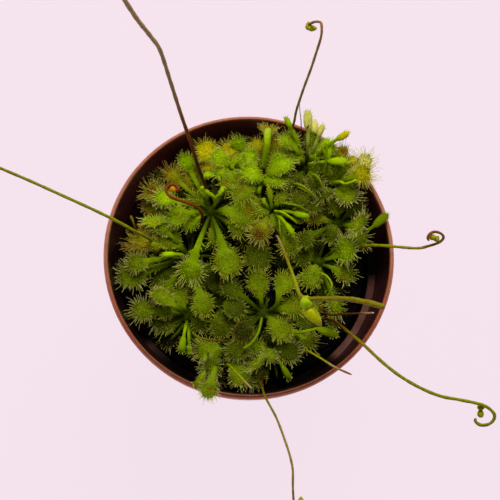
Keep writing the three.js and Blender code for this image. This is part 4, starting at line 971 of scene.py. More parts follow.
class Leaf:
    """One leaf's frame: along points from stalk to tip, across to its left, over away from the peat. Its
    age is club (young and still rolled), old or grown."""

    def __init__(self, name, crown, shape, old):
        x, y, z, width, rise, roll, bow, look = shape
        up = np.array([0, 0, 1.0])
        self.name, self.crown, self.look = name, np.array(crown, float), BLADE_LOOKS[look]
        self.centre, self.width, self.bow = np.array([x, y, z], float), width, bow
        self.club, self.bare, self.tip_glint = width < LEAF["club_width"], rise in RAISED, tip_glint(x, y)
        self.age = "club" if self.club else "old" if old else "grown"
        self.half = width * (LEAF["club_long"] if self.club else LEAF["long"]) / 2
        self.away = unit([x - crown[0], y - crown[1], 0])
        rise, roll, turn = (math.radians(angle) for angle in (rise, roll, TURNED.get((x, y), 0)))
        ahead = self.away * math.cos(turn) + np.cross(up, self.away) * math.sin(turn)
        self.side = np.cross(up, ahead)
        self.along = ahead * math.cos(rise) + up * math.sin(rise)
        level = np.cross(self.along, self.side)
        self.across = self.side * math.cos(roll) + level * math.sin(roll)
        self.over = np.cross(self.along, self.across)

    def stalk(self, part):
        """Cubic curve from the crown, which it leaves steeply, into the blade's base."""
        start = self.crown + CURVE["out"] * self.away - np.array([0, 0, CURVE["under"]])
        end = self.centre - MEET * self.half * self.along
        reach = np.linalg.norm(end - start)
        lift = np.array([0, 0, CURVE["lift"] * reach])
        first = start + CURVE["handle"] * (end - start) + lift + self.side * self.bow
        second = end - CURVE["handle"] * reach * self.along + CURVE["bow"] * self.bow * self.side
        part = np.asarray(part, float)[..., None]
        rest = 1 - part
        return (rest ** 3 * start + 3 * rest ** 2 * part * first + 3 * rest * part ** 2 * second
                + part ** 3 * end)

    def blade(self, angle, part, over=0.0):
        """A place on the blade: angle 0 is the tip and part 1 the margin."""
        angle, part, over = (np.asarray(value, float)[..., None] for value in (angle, part, over))
        broad = 1 + LEAF["taper"] * np.cos(angle)
        return (self.centre + self.along * np.cos(angle) * self.half * part
                + self.across * np.sin(angle) * self.width / 2 * part * broad + self.over * over)

    def fill(self):
        """Balls that fill the leaf."""
        spokes = BALLS["club_spokes"] if self.club else BALLS["spokes"]
        turns = 2 * math.pi * (np.arange(spokes) + 0.5) / spokes
        part = np.linspace(0, 1, BALLS["along"])
        balls = [
            balls_at(self.centre, BALLS["radius"]),
            balls_at(self.blade(turns, BALLS["margin"]), BALLS["margin_radius"]),
            balls_at(self.stalk(part), np.minimum(LEAF["stalk_fill"], stalk_half(self, part)))]
        if not self.club:
            balls.append(balls_at(self.blade(turns[::2], BALLS["inner"]), BALLS["radius"]))
        return np.concatenate(balls)


def is_clear(fill, others, air):
    """Whether every ball of the one keeps the air to every ball of the other."""
    far = np.linalg.norm(fill[:, None, :3] - others[None, :, :3], axis=2)
    return bool((far >= fill[:, None, 3] + others[None, :, 3] + air).all())


def is_free(fill):
    """Whether the balls lie above the peat, and inside the pot's mouth or above its rim."""
    x, y, z, radius = fill.T
    over_rim = z - radius > mm(bpy.context.scene.sundew_pot, "height") + GAP
    in_mouth = np.hypot(x, y) + radius + GAP < pot_inner_radius(z)
    return bool(((over_rim | in_mouth) & (z - radius > soil_height(x, y) + GAP)).all())


def outside(fill, crown):
    """The balls that lie outside the zone where the leaves of one crown may meet."""
    return fill[np.hypot(fill[:, 0] - crown[0], fill[:, 1] - crown[1]) > SETTLE["own_zone"]]


def stock_fill(crown):
    """Balls that fill a root stock and its crown."""
    x, y, z = crown
    ground, pitch = soil_height(x, y), BALLS["stock_pitch"]
    heights = ground + pitch * np.arange(math.ceil((z - ground) / pitch))
    column = balls_at(upright(x, y, heights), STOCK["radius"])
    return np.concatenate([column, balls_at((x, y, z - STOCK["core_drop"]), STOCK["core"])])


def rooted(name):
    """A flower stalk's points, with its root in the peat first."""
    _, (x, y), points = STALKS[name]
    ground = float(soil_height(x, y))
    return np.array([(x, y, ground - STALK_DEPTH + GAP), (x, y, ground), *points], float)


def stalk_fill(name):
    """Balls that fill a flower stalk."""
    points, balls = rooted(name), []
    for start, end in zip(points, points[1:]):
        count = math.ceil(np.linalg.norm(end - start) / BALLS["stalk_pitch"])
        part = (np.arange(count)[:, None] + 1) / count
        balls.append(start + part * (end - start))
    return balls_at(np.concatenate(balls), STALKS[name][0])


def old_leaves(crown, seed):
    """Older leaves lie low round each crown, a golden angle apart."""
    x, y, z = crown
    shapes = []
    for index in range(OLD["count"]):
        turn = (index + 6 * draw(seed + 0.7)) * GOLDEN_ANGLE
        reach = OLD["reach"] + OLD["spread"] * draw(seed + index * 3.1)
        width = OLD["width"] + OLD["width_spread"] * draw(seed + index * 5.3)
        shapes.append((x + reach * math.cos(turn), y + reach * math.sin(turn), z - OLD["drop"],
                       width, OLD["rise"], 0, 0, DEAD_LOOK))
    return shapes


def leaves_in_turn():
    """Every leaf as its rosette, crown and shape, and whether it is old: the highest first, the old last."""
    waiting = []
    for order, (name, (crown, shapes)) in enumerate(ROSETTES.items()):
        waiting += [(name, crown, shape, False) for shape in shapes]
        waiting += [(name, crown, shape, True) for shape in old_leaves(crown, order + 1)]
    return sorted(waiting, key=lambda leaf: (leaf[3], -leaf[2][2]))


def settled_leaves():
    """Every leaf in turn sinks or rises until it is clear; one that finds no place is left out."""
    fixed = [(name, stock_fill(crown)) for name, (crown, _) in ROSETTES.items()]
    fixed += [(name, stalk_fill(name)) for name in STALKS]
    lifts = [SETTLE["step"] * math.ceil(count / 2) * (-1 if count % 2 else 1)
             for count in range(SETTLE["tries"])]
    settled = []
    for name, crown, shape, old in leaves_in_turn():
        foreign = np.concatenate(
            [fill for other, fill in fixed if other != name]
            + [fill for leaf, fill in settled if leaf.name != name])
        kin = [fill for leaf, fill in settled if leaf.name == name]
        kin = outside(np.concatenate(kin), crown) if kin else np.zeros((0, 4))
        for lift in lifts:
            leaf = Leaf(name, crown, (*shape[:2], shape[2] + lift, *shape[3:]), old)
            fill = leaf.fill()
            if (is_free(fill) and is_clear(fill, foreign, SETTLE["air"])
                    and is_clear(outside(fill, crown), kin, 0)):
                settled.append((leaf, fill))
                break
    return [leaf for leaf, _ in settled]


# ---------------------------------------------------------------- the leaves' shapes
STALK_ROWS, BLADE_ROWS, LEAF_SIDES = 9, 15, 16      # rows along a leaf's stalk and blade, points in a row
# Half the thickness of a stalk at the crown and how much it thins, of a blade and of a club in the middle,
# what lies on it all over, the least; and how deep the stalk's groove is.
SKIN = {"stalk": 0.34, "thins": 0.04, "blade": 0.3, "club": 0.5, "more": 0.06, "least": 0.12, "groove": 0.35}
# How deep a club's and a blade's dish is, as a share of half the width, and how high the wave on it; how
# far the tip curls, and from which place on.
DISH = {"club": 0.1, "blade": 0.22, "wave": 0.07, "curl": 0.6, "curls_from": 0.3}


def stalk_half(leaf, part):
    """Half the width of a leaf's stalk, which grows with the square of the way along it."""
    if leaf.club:
        return np.full_like(part, LEAF["club_stalk"], dtype=float)
    return LEAF["stalk_half"] + (LEAF["stalk_share"] * leaf.width - LEAF["stalk_half"]) * part ** 2


def on_blade(place):
    """From the way along the blade, which is -1 and 1 at its ends, to a place from 0 to 1 past its stalk."""
    return (place + MEET) / (1 + MEET)


def stalk_rows(leaf):
    """The rows of a leaf's stalk, with places from -1 at the crown to 0 at the blade."""
    part = np.linspace(0, 1, STALK_ROWS, endpoint=False)
    middle = leaf.stalk(part)
    heading = unit(leaf.stalk(part + 0.01) - middle)
    across = unit(leaf.across - (heading @ leaf.across)[:, None] * heading)
    thick = SKIN["stalk"] - SKIN["thins"] * part
    return middle, across, np.cross(heading, across), stalk_half(leaf, part), thick, part - 1


def blade_rows(leaf):
    """The rows of a blade, with places from 0 to 1 at the tip. Its half width is that of an ellipse a little
    broader towards the tip, and never less than a wedge that carries the stalk's on."""
    turn = np.linspace(math.acos(MEET), math.pi - 0.12, BLADE_ROWS)
    place = -np.cos(turn)
    wide = leaf.width / 2 * np.sin(turn) * (1 + LEAF["taper"] * place)
    wedge = (stalk_half(leaf, 1.0) + 0.25 * leaf.width * (place + MEET)) * (place < -0.4)
    middle = leaf.centre + leaf.along * (place * leaf.half)[:, None]
    across, over = (np.broadcast_to(way, middle.shape) for way in (leaf.across, leaf.over))
    thick = SKIN["club"] if leaf.club else SKIN["blade"]
    thick = thick * np.sqrt(np.clip(1 - place ** 2, 0.03, 1)) + SKIN["more"]
    return middle, across, over, np.maximum(wide, wedge), np.maximum(thick, SKIN["least"]), on_blade(place)


def leaf_rows(leaf):
    """A leaf's rows from crown to tip: middle, across, over, half width, half thickness, and place, which
    runs from -1 at the crown to 0 at the blade and 1 at the tip."""
    return (np.concatenate(pair) for pair in zip(stalk_rows(leaf), blade_rows(leaf)))


def dish(leaf, cross, place, wave):
    """How far the blade is lifted: its margin by the square of the way across, with a slow wave along it,
    and its tip up or down by the square of the way along it."""
    deep, curl = (DISH["club"], 0.0) if leaf.club else (DISH["blade"], DISH["curl"] * math.sin(3 * wave))
    across = leaf.width / 2 * cross ** 2 * (deep + DISH["wave"] * np.sin(7 * place + wave))
    tip = np.clip(place - DISH["curls_from"], 0, 1)
    return smooth(place, 0, 0.25) * across + curl * leaf.half * tip ** 2


def leaf_surface(leaf, wave):
    """The leaf's skin: on each row, (cos a times half width) across and (sin a times half thickness) over,
    lifted by the dish. On the stalk the upper side is grooved."""
    middle, across, over, wide, thick, place = leaf_rows(leaf)
    turn = 2 * math.pi * np.arange(LEAF_SIDES) / LEAF_SIDES
    cross = np.cos(turn)[None, :] * np.ones((len(place), 1))
    groove = SKIN["groove"] * (place[:, None] < 0) * np.maximum(np.sin(turn), 0) ** 3
    height = thick[:, None] * (np.sin(turn) - groove) + dish(leaf, cross, place[:, None], wave)
    points = (middle[:, None] + across[:, None] * (wide[:, None] * cross)[..., None]
              + over[:, None] * height[..., None])
    return points.reshape(-1, 3), cross.ravel(), np.repeat(place, LEAF_SIDES)


def redness(leaf, cross, place, random):
    """How far each point has turned red-brown: the margin by the look's rust, and maybe a blush somewhere."""
    rim = smooth(np.maximum(np.abs(cross), place), 0.72, 1.0) * smooth(place, 0.15, 0.4)
    spot = np.hypot(cross - random.uniform(-0.8, 0.8), 2 * (place - random.uniform(0.3, 0.9)))
    blush = max(0.0, random.uniform(-0.25, 0.4)) * leaf.look.blush * smooth(-spot, -0.9, -0.1)
    return np.maximum(leaf.look.rust * rim, blush * smooth(place, 0.05, 0.3))


def leaf_tints(leaf, looks, cross, place, random):
    """A stalk that is deep green at the crown and runs into the blade's middle, which is painted lighter
    while its margin is painted darker, as light and shade; a tanned blade has a scorched middle, and any may
    be red-brown in parts. With the colours goes how much the leaf is flecked with painted shadow dots and
    relief."""
    blade = tone(getattr(looks, leaf.look.colour)) * random.uniform(0.8, 1.15)
    stalk = blend(tone(looks.stalk), blade, leaf.look.in_stalk)
    heart = blade if leaf.look.colour == "drowned" else tone(looks.heart)
    stalk = blend(heart, stalk, smooth(place, -1.0, -0.25 if leaf.club else 0.1))
    edge = smooth(np.maximum(np.abs(cross), 2 * place - 1), 0.3, 1.0)
    # Painted light and shade: the blade is lighter in its middle and darker towards its margin.
    tints = blend(stalk, blade * (1.08 - 0.22 * edge)[:, None], smooth(place, 0.0, 0.35))
    if leaf.look.colour == "tanned":
        scorch = smooth(-np.hypot(cross, 2.2 * (place - 0.65)), -1.0, -0.3)
        tints = blend(tints, tone(looks.scorched), 0.9 * scorch)
    fleck = (0.2 + 0.8 * smooth(place, 0.02, 0.3)) * (0.15 if leaf.club else 1)
    return blend(tints, tone(looks.rusty_rim), redness(leaf, cross, place, random)), fleck


# ---------------------------------------------------------------- the tentacles
# Rows of tentacles from the margin inwards: place on the blade, tentacles for each millimetre of width,
# length as a share of the margin's, and how far they lean outwards.
TENTACLE_ROWS = (
    (1.0, 10.0, 1.0, 0.97), (0.93, 8.0, 0.8, 0.88), (0.8, 5.6, 0.45, 0.66), (0.64, 4.2, 0.32, 0.45),
    (0.47, 3.2, 0.27, 0.3), (0.29, 2.2, 0.24, 0.2), (0.1, 1.2, 0.2, 0.1))
# Rings along a tentacle's shaft and along the drop at its end, each with its radius as a share of the
# root's or the drop's; and how far the shaft's rings have the tip's colour.
SHAFT, SHAFT_RADII = np.array([(0, 1.0), (0.3, 0.64), (0.7, 0.44), (1.0, 0.38)]).T
DROP, DROP_RADII = np.array([(0.22, 0.87), (0.62, 0.9), (1.0, 0.12)]).T
SHAFT_TINT = np.array([0.0, 0.25, 0.7, 1])
TENTACLE_SIDES = 3
LEAF_FINISH, TENTACLE_FINISH, DEW_FINISH = range(3)
CROWDING = {"club": 0.5, "old": 0.65, "grown": 1}   # by a leaf's age, how crowded its tentacles are
GROWTH = {"club": 0.3, "old": 0.75}                 # and how far grown; a draw says it on a grown leaf
INMOST = {"club": 0.9, "bare": 0.7}                 # the place inside which such a blade has none
# Even draws for a tentacle: by what share its place moves, shares of its length and of its drop, the growth
# of all on a grown leaf, and how far it bends upwards.
DRAWS = {"place": (-0.05, 0.03), "long": (0.45, 1.25), "drop": (0.7, 1.2), "growth": (0.72, 1.2),
         "upwards": (-0.1, 0.5)}
# How far tentacles stray from their row's even places, their lean, and the way they start and bend.
STRAY = {"turn": 0.6, "lean": 0.12, "start": 0.14, "bend": 0.2}
# The fringe of a stalk: tentacles for each millimetre of the blade's width on both edges, where along it
# they begin, how far from its middle, how far they point ahead and up, and their lengths and lean.
FRINGE = {"crowd": 1.5, "along": (0.55, 1.0), "out": 0.9, "ahead": 0.6, "over": (0.1, 0.9),
          "long": (0.35, 0.8), "lean": 0.6}


def tentacle_roots(leaf, random):
    """Angle, place, length share and lean of every tentacle on a blade: rows that are even but for a draw.
    A club has only its margin's, and a bare blade only those near its margin."""
    inmost = INMOST["club"] if leaf.club else INMOST["bare"] if leaf.bare else 0
    rows = []
    for place, crowd, reach, lean in TENTACLE_ROWS:
        if place < inmost:
            continue
        count = max(3, int(round(crowd * leaf.width * CROWDING[leaf.age])))
        shoulder = math.pi * (0.35 if leaf.club else 1 - 0.16 * place)
        angle = np.linspace(-shoulder, shoulder, count) + random.normal(0, STRAY["turn"] / count, count)
        rows.append(np.stack([
            angle, place * (1 + random.uniform(*DRAWS["place"], count)),
            reach * random.uniform(*DRAWS["long"], count) * (0.6 + 0.6 * np.cos(angle / 2) ** 2),
            np.clip(lean + random.normal(0, STRAY["lean"], count), 0, 1)], axis=-1))
    return np.concatenate(rows).T


def blade_tentacles(leaf, wave, random):
    """Roots, directions, length shares and leans of the blade's tentacles: each direction lies by its lean
    between over and outwards."""
    angle, place, share_long, lean = tentacle_roots(leaf, random)
    outwards = unit(leaf.along * np.cos(angle)[:, None] + leaf.across * np.sin(angle)[:, None])
    start = outwards * lean[:, None] + leaf.over * (1.05 - lean)[:, None]
    start += random.normal(0, STRAY["start"], (len(angle), 3))
    place = np.minimum(place, 0.98)
    lengthwise = np.cos(angle) * place
    crosswise = np.sin(angle) * place / np.sqrt(1 - lengthwise ** 2)
    height = 0.18 * np.sqrt(1 - place ** 2) + dish(leaf, crosswise, on_blade(lengthwise), wave) - 0.05
    return leaf.blade(angle, place, height), unit(start), share_long, lean


def stalk_tentacles(leaf, random):
    """The same for the short tentacles that fringe both edges of the stalk where it widens."""
    count = 0 if leaf.club else 2 * int(FRINGE["crowd"] * leaf.width)
    part = random.uniform(*FRINGE["along"], count) ** 0.7
    edge = np.where(np.arange(count) % 2, 1.0, -1.0)[:, None] * leaf.across
    root = leaf.stalk(part) + edge * FRINGE["out"] * stalk_half(leaf, part)[:, None]
    start = edge + leaf.along * FRINGE["ahead"] + leaf.over * random.uniform(*FRINGE["over"], (count, 1))
    return root, unit(start), random.uniform(*FRINGE["long"], count) * part, np.full(count, FRINGE["lean"])


def tentacle_paths(leaf, looks, wave, random):
    """Each tentacle: straight from its root, then bent by the square of the way along it; its last
    stretch is the drop."""
    both = zip(blade_tentacles(leaf, wave, random), stalk_tentacles(leaf, random))
    root, start, share_long, lean = (np.concatenate(pair) for pair in both)
    drop = mm(looks, "dew") * random.uniform(*DRAWS["drop"], len(root)) * (1.6 - 0.7 * lean)
    grown = GROWTH[leaf.age] if leaf.age in GROWTH else random.uniform(*DRAWS["growth"])
    long = mm(looks, "tentacle") * share_long * grown * (1 + 0.45 * leaf.tip_glint)
    shaft = np.maximum(long - 2 * drop, 0.12)[:, None] * SHAFT
    reach = np.concatenate([shaft, shaft[:, -1:] + 2 * drop[:, None] * DROP], axis=1)
    bend = leaf.over * random.uniform(*DRAWS["upwards"], (len(root), 1))
    bend = bend + random.normal(0, STRAY["bend"], (len(root), 3))
    curl = (reach / long[:, None]) ** 2 * long[:, None] * 0.55
    paths = root[:, None] + start[:, None] * reach[..., None] + bend[:, None] * curl[..., None]
    thin = np.broadcast_to(mm(looks, "tentacle_root") * SHAFT_RADII, shaft.shape)
    return paths, np.concatenate([thin, drop[:, None] * DROP_RADII], axis=1), lean


def tentacle_tints(leaf, looks, lean, random):
    """Each tentacle's colours from root to drop: those on the margin turn pale, those that stand on the
    blade only a lighter green, and some of both are ruddy on a sunned blade."""
    blade, pale, paler = tone(getattr(looks, leaf.look.colour)), tone(looks.pale), leaf.look.pale
    light = blend(1.4 * blade, pale, 0.4 * paler)
    tip = blend(light, pale, paler * smooth(lean, 0.6, 0.85))
    # Painted highlight: the tips whitened as if light glints on their dew.
    if leaf.look.colour != "drowned":
        tip = blend(tip, tone(looks.glinting), leaf.tip_glint * smooth(lean, 0.7, 0.95))
    ruddy = np.clip(leaf.look.ruddy + random.normal(0, 0.12, len(lean)), 0, 1)
    tip = blend(tip, tone(looks.ruddy), ruddy)
    shaft = blend(1.1 * blade, tip[:, None], SHAFT_TINT)
    drop = np.broadcast_to(blend(tip, pale, 0.6 * paler)[:, None], (len(lean), len(DROP), 3))
    return np.concatenate([shaft, drop], axis=1)


def add_tentacles(shell, leaf, looks, wave, random):
    """A blade's tentacles, each with its drop."""
    paths, radii, lean = tentacle_paths(leaf, looks, wave, random)
    fixed = leaf.side + 0.3 * leaf.away + 0.2 * leaf.over
    points, (quads, caps) = tubes(paths, radii, TENTACLE_SIDES, fixed)
    tints = np.repeat(tentacle_tints(leaf, looks, lean, random).reshape(-1, 3), TENTACLE_SIDES, axis=0)
    rings = np.arange(len(SHAFT) + len(DROP) - 1)
    drop = np.tile(np.repeat(rings >= len(SHAFT), TENTACLE_SIDES), len(paths))
    shell.add((points, [quads[~drop], quads[drop], caps]), tints, [TENTACLE_FINISH, DEW_FINISH, DEW_FINISH])


# ---------------------------------------------------------------- the rosettes
# A crown's profile above its root stock: heights over the crown's place, and radii.
CROWN = ((-3.4, 1.0), (-2.2, 1.1), (-1.7, 1.4), (-0.9, 1.7), (0, 1.5), (0.5, 0.9), (0.75, 0.15))
STOCK_SIDES = 12
# Withered stalks round a crown: their number, sides and radii along them, how far they reach and rise, and
# how far they may turn from even places and bend sideways, in radians.
WITHERED = {"count": 18, "sides": 6, "radii": (0.3, 0.34, 0.34, 0.32, 0.26, 0.1), "reach": (3.5, 8),
            "rise": (0.3, 1.6), "turn": (-0.25, 0.25), "wear": 0.3}


def add_stock(shell, crown, looks):
    """The root stock and the crown's core, a bar that swells into a ball under the leaves."""
    x, y, z = crown
    rises, radii = np.array(CROWN).T
    heights = np.r_[float(soil_height(x, y)) - 2, z + rises]
    radii = np.r_[STOCK["radius"], radii]
    tints = blend(tone(looks.dead), tone(looks.heart), smooth(heights, z - 1.5, z + 0.4))
    bar = tubes(upright(x, y, heights)[None], radii[None], STOCK_SIDES, np.array([1.0, 0, 0]))
    shell.add(bar, np.repeat(tints, STOCK_SIDES, axis=0))


def add_old_stalks(shell, crown, looks, random):
    """Stalks of withered leaves that still stand out from the crown under the others: bars that rise
    by the square root of the way out, a golden angle apart."""
    count, sides, rows = WITHERED["count"], WITHERED["sides"], len(WITHERED["radii"])
    way = np.linspace(0, 1, rows)
    turn = GOLDEN_ANGLE * np.arange(count) + random.uniform(*WITHERED["turn"], count)
    reach = random.uniform(*WITHERED["reach"], count)[:, None] * np.linspace(0.12, 1, rows)
    rise = random.uniform(*WITHERED["rise"], count)[:, None] * np.sqrt(way) - 1
    turn = turn[:, None] + random.uniform(*WITHERED["turn"], count)[:, None] * way
    paths = np.array(crown) + np.stack([reach * np.cos(turn), reach * np.sin(turn), rise], axis=-1)
    shade = blend(tone(looks.heart), tone(looks.green), random.random(count)[:, None] * way)
    radii = np.broadcast_to(WITHERED["radii"], (count, rows))
    bars = tubes(paths, radii, sides, np.array([0, 0, 1.0]))
    shell.add(bars, np.repeat(shade.reshape(-1, 3), sides, axis=0), wear=WITHERED["wear"])


# Leaves that rot on the peat beside the clump: a crown and its leaves, as in the rosettes.
DROWNED = (
    ((-18.2, 8.5, 39.4), (
        (-21.2, 9.6, 40, 2.4, 5, 10, 0, 6), (-19.6, 11.8, 40, 2.2, -5, -10, 0, 6),
        (-22, 6.6, 39.6, 2.2, 5, 0, 0.4, 6), (-16.4, 11, 40.4, 2.2, 10, 0, 0, 6))),
    ((-14.8, 15.4, 39.4), (
        (-16.4, 17, 40.2, 2.2, 15, 0, 0, 6), (-17.6, 14.8, 39.8, 2.2, 5, 0, 0, 6))),
)


def add_leaf(shell, leaf, looks, random):
    """One leaf: its skin and its tentacles."""
    wave = random.uniform(0, 6)
    points, cross, place = leaf_surface(leaf, wave)
    tints, fleck = leaf_tints(leaf, looks, cross, place, random)
    faces = grid_faces(1, STALK_ROWS + BLADE_ROWS, LEAF_SIDES)
    shell.add((points, faces), tints, LEAF_FINISH, fleck)
    add_tentacles(shell, leaf, looks, wave, random)


def build_rosettes(scene):
    """Each rosette in one piece: its stock, its withered stalks, its settled leaves and its fillers; and the
    drowned leaves in another."""
    looks = scene.sundew_leaves
    finishes = [leaf_finish(), tentacle_finish(), dew_finish()]
    leaves = settled_leaves()
    for order, (name, (crown, _)) in enumerate(ROSETTES.items()):
        random = np.random.default_rng(SEEDS["rosettes"] + order)
        shell = Shell()
        add_stock(shell, crown, looks)
        add_old_stalks(shell, crown, looks, random)
        settled = [leaf for leaf in leaves if leaf.name == name]
        fillers = [Leaf(name, crown, shape, False) for shape in FILLERS.get(name, ())]
        for leaf in settled + fillers:
            add_leaf(shell, leaf, looks, random)
        shell.piece(name.replace("rosette", "sundew"), finishes, "leaf", [name])
    random = np.random.default_rng(SEEDS["drowned"])
    shell = Shell()
    for crown, shapes in DROWNED:
        for shape in shapes:
            add_leaf(shell, Leaf("drowned_leaves", crown, shape, True), looks, random)
    shell.piece("drowned_leaves", finishes, "leaf")


# ---------------------------------------------------------------- flower stalks and buds
# Each stalk's colours along its length, and how its thickness changes from foot to end.
STALK_LOOKS = {
    "stalk_tall": (((0, "umber"), (0.25, "umber"), (0.42, "ruddy"), (0.56, "tan"), (1, "tan")), (0.9, 1.1)),
    "stalk_red": (((0, "umber"), (0.35, "umber"), (0.5, "ruddy"), (1, "ruddy")), (1, 1)),
    "stalk_west": (((0, "green"), (0.5, "green"), (1, "olive")), (1, 0.9)),
    "stalk_north": (((0, "ruddy"), (0.35, "olive"), (0.8, "tan"), (1, "ruddy")), (1, 0.95)),
    "stalk_east": (((0, "olive"), (0.6, "green"), (1, "ruddy")), (1, 0.9)),
    "stalk_southeast": (((0, "umber"), (0.3, "umber"), (0.42, "olive"), (0.8, "green"), (1, "olive")),
                        (1, 1)),
    "stalk_south": (((0, "umber"), (0.36, "umber"), (0.5, "olive"), (1, "tan")), (0.9, 0.85)),
    "stalk_middle": (((0, "umber"), (0.25, "tan"), (0.45, "olive"), (0.6, "green"), (0.75, "olive"),
                      (1, "olive")), (0.6, 1.6)),
    "stub_east": (((0, "leafy"), (0.4, "olive"), (0.6, "umber"), (0.9, "umber"), (1, "tan")), (1, 0.9)),
    "stub_south": (((0, "green"), (0.76, "green"), (0.86, "tan"), (1, "ruddy")), (1, 0.85)),
    "stub_southwest": (((0, "green"), (0.85, "green"), (1, "tan")), (1, 0.85)),
    "stub_west": (((0, "leafy"), (0.5, "leafy"), (0.7, "olive"), (1, "umber")), (1, 0.8)),
}
# Points in a ring of a stalk or a strand, and steps of its curve between two of its points.
STALK_SIDES, STALK_STEPS = 12, 9
STRAND_SIDES, STRAND_STEPS = 8, 8
STRAND_END = 0.6            # a strand's radius at its end, as a share of that at its start
BUD_ROWS, BUD_SIDES = 13, 15
FRESH_BUD = 1.3             # half width above which a bud is a young leaf that is still curled


def smooth_path(points, steps):
    """A curve through points: between two of them a cubic whose slope at each is half the way between
    its neighbours; the ends are carried on straight."""
    padded = np.concatenate([[2 * points[0] - points[1]], points, [2 * points[-1] - points[-2]]])
    part = np.linspace(0, 1, steps, endpoint=False)[None, :, None]
    one, two = padded[1:-2, None], padded[2:-1, None]
    slope_one, slope_two = (padded[2:-1] - padded[:-3])[:, None] / 2, (padded[3:] - padded[1:-2])[:, None] / 2
    curve = (one * (2 * part ** 3 - 3 * part ** 2 + 1) + slope_one * (part ** 3 - 2 * part ** 2 + part)
             + two * (3 * part ** 2 - 2 * part ** 3) + slope_two * (part ** 3 - part ** 2))
    return np.concatenate([curve.reshape(-1, 3), points[-1:]])


def flat_normal(points):
    """The direction in which a path's points spread least."""
    return np.linalg.svd(points - points.mean(axis=0))[2][-1]


def along_colours(stops, looks, part):
    """Colours along a stalk, mixed between its stops."""
    places = [place for place, _ in stops]
    colours = np.array([tone(getattr(looks, name)) for _, name in stops])
    return np.stack([np.interp(part, places, colours[:, channel]) for channel in range(3)], axis=-1)


def stalk_radii(radius, ends, way, order):
    """Radii along a stalk: from foot to end by the square of the way along it, a little uneven by two sines,
    and rounded off at the end by a square root."""
    foot, end = ends
    uneven = 1 + 0.06 * np.sin(way * 1.7 + order) + 0.04 * np.sin(way * 4.1)
    radii = radius * (foot + (end - foot) * (way / way[-1]) ** 2) * uneven
    return radii * np.sqrt(np.clip((way[-1] - way) / (1.2 * radius) + 0.08, 0, 1))


def add_bar(shell, path, radii, tints, sides):
    """One round bar with its colours row by row."""
    surface = tubes(path[None], radii[None], sides, flat_normal(path))
    shell.add(surface, np.repeat(tints, sides, axis=0))


def build_stalks(scene):
    """Each flower stalk: a round bar through its points."""
    skin = stalk_finish()
    for order, name in enumerate(STALKS):
        stops, ends = STALK_LOOKS[name]
        path = smooth_path(rooted(name), STALK_STEPS)
        way = np.r_[0, np.cumsum(np.linalg.norm(np.diff(path, axis=0), axis=1))]
        tints = along_colours(stops, scene.sundew_stalks, way / way[-1])
        shell = Shell()
        add_bar(shell, path, stalk_radii(STALKS[name][0], ends, way, order), tints, STALK_SIDES)
        slot = "stalk_red" if name in ("stalk_tall", "stalk_red") else "stalk_olive"
        shell.piece("flower_" + name, [skin], slot, [name])


def bud_surface(bud):
    """A bud: rows along its axis with radius wide times the power 0.7 of the sine of (pi times the power
    0.75 of the way), raised in five ribs."""
    centre, (long, wide), axis = np.array(bud[:3], float), bud[3:5], unit(bud[5:])
    way = np.linspace(0.03, 0.985, BUD_ROWS)
    turn = 2 * math.pi * np.arange(BUD_SIDES) / BUD_SIDES
    left = unit(np.cross(axis, [0.3, 0.2, 0.9]))
    over = np.cross(axis, left)
    radius = wide * np.sin(math.pi * way ** 0.75) ** 0.7
    ribbed = radius[:, None] * (1 + 0.07 * np.cos(5 * turn))
    points = (centre + axis * (long * (2 * way - 1))[:, None, None]
              + ribbed[..., None] * (left * np.cos(turn)[:, None] + over * np.sin(turn)[:, None]))
    return points.reshape(-1, 3), grid_faces(1, BUD_ROWS, BUD_SIDES), np.repeat(way, BUD_SIDES)


def build_buds(scene):
    """Each cluster of buds, green, yellow or amber with browner points."""
    looks = scene.sundew_stalks
    skin = stalk_finish()
    for name, buds in BUDS.items():
        body = tone({"buds_middle": looks.plump, "bud_red": looks.amber}.get(name, looks.bud))
        shell = Shell()
        for bud in buds:
            points, faces, way = bud_surface(bud)
            calyx = tone(looks.sprout) if bud[4] > FRESH_BUD else body
            shell.add((points, faces), blend(calyx, tone(looks.bud_tip), smooth(way, 0.75, 1)))
        shell.piece("flower_" + name, [skin], "flower_bud", [name])


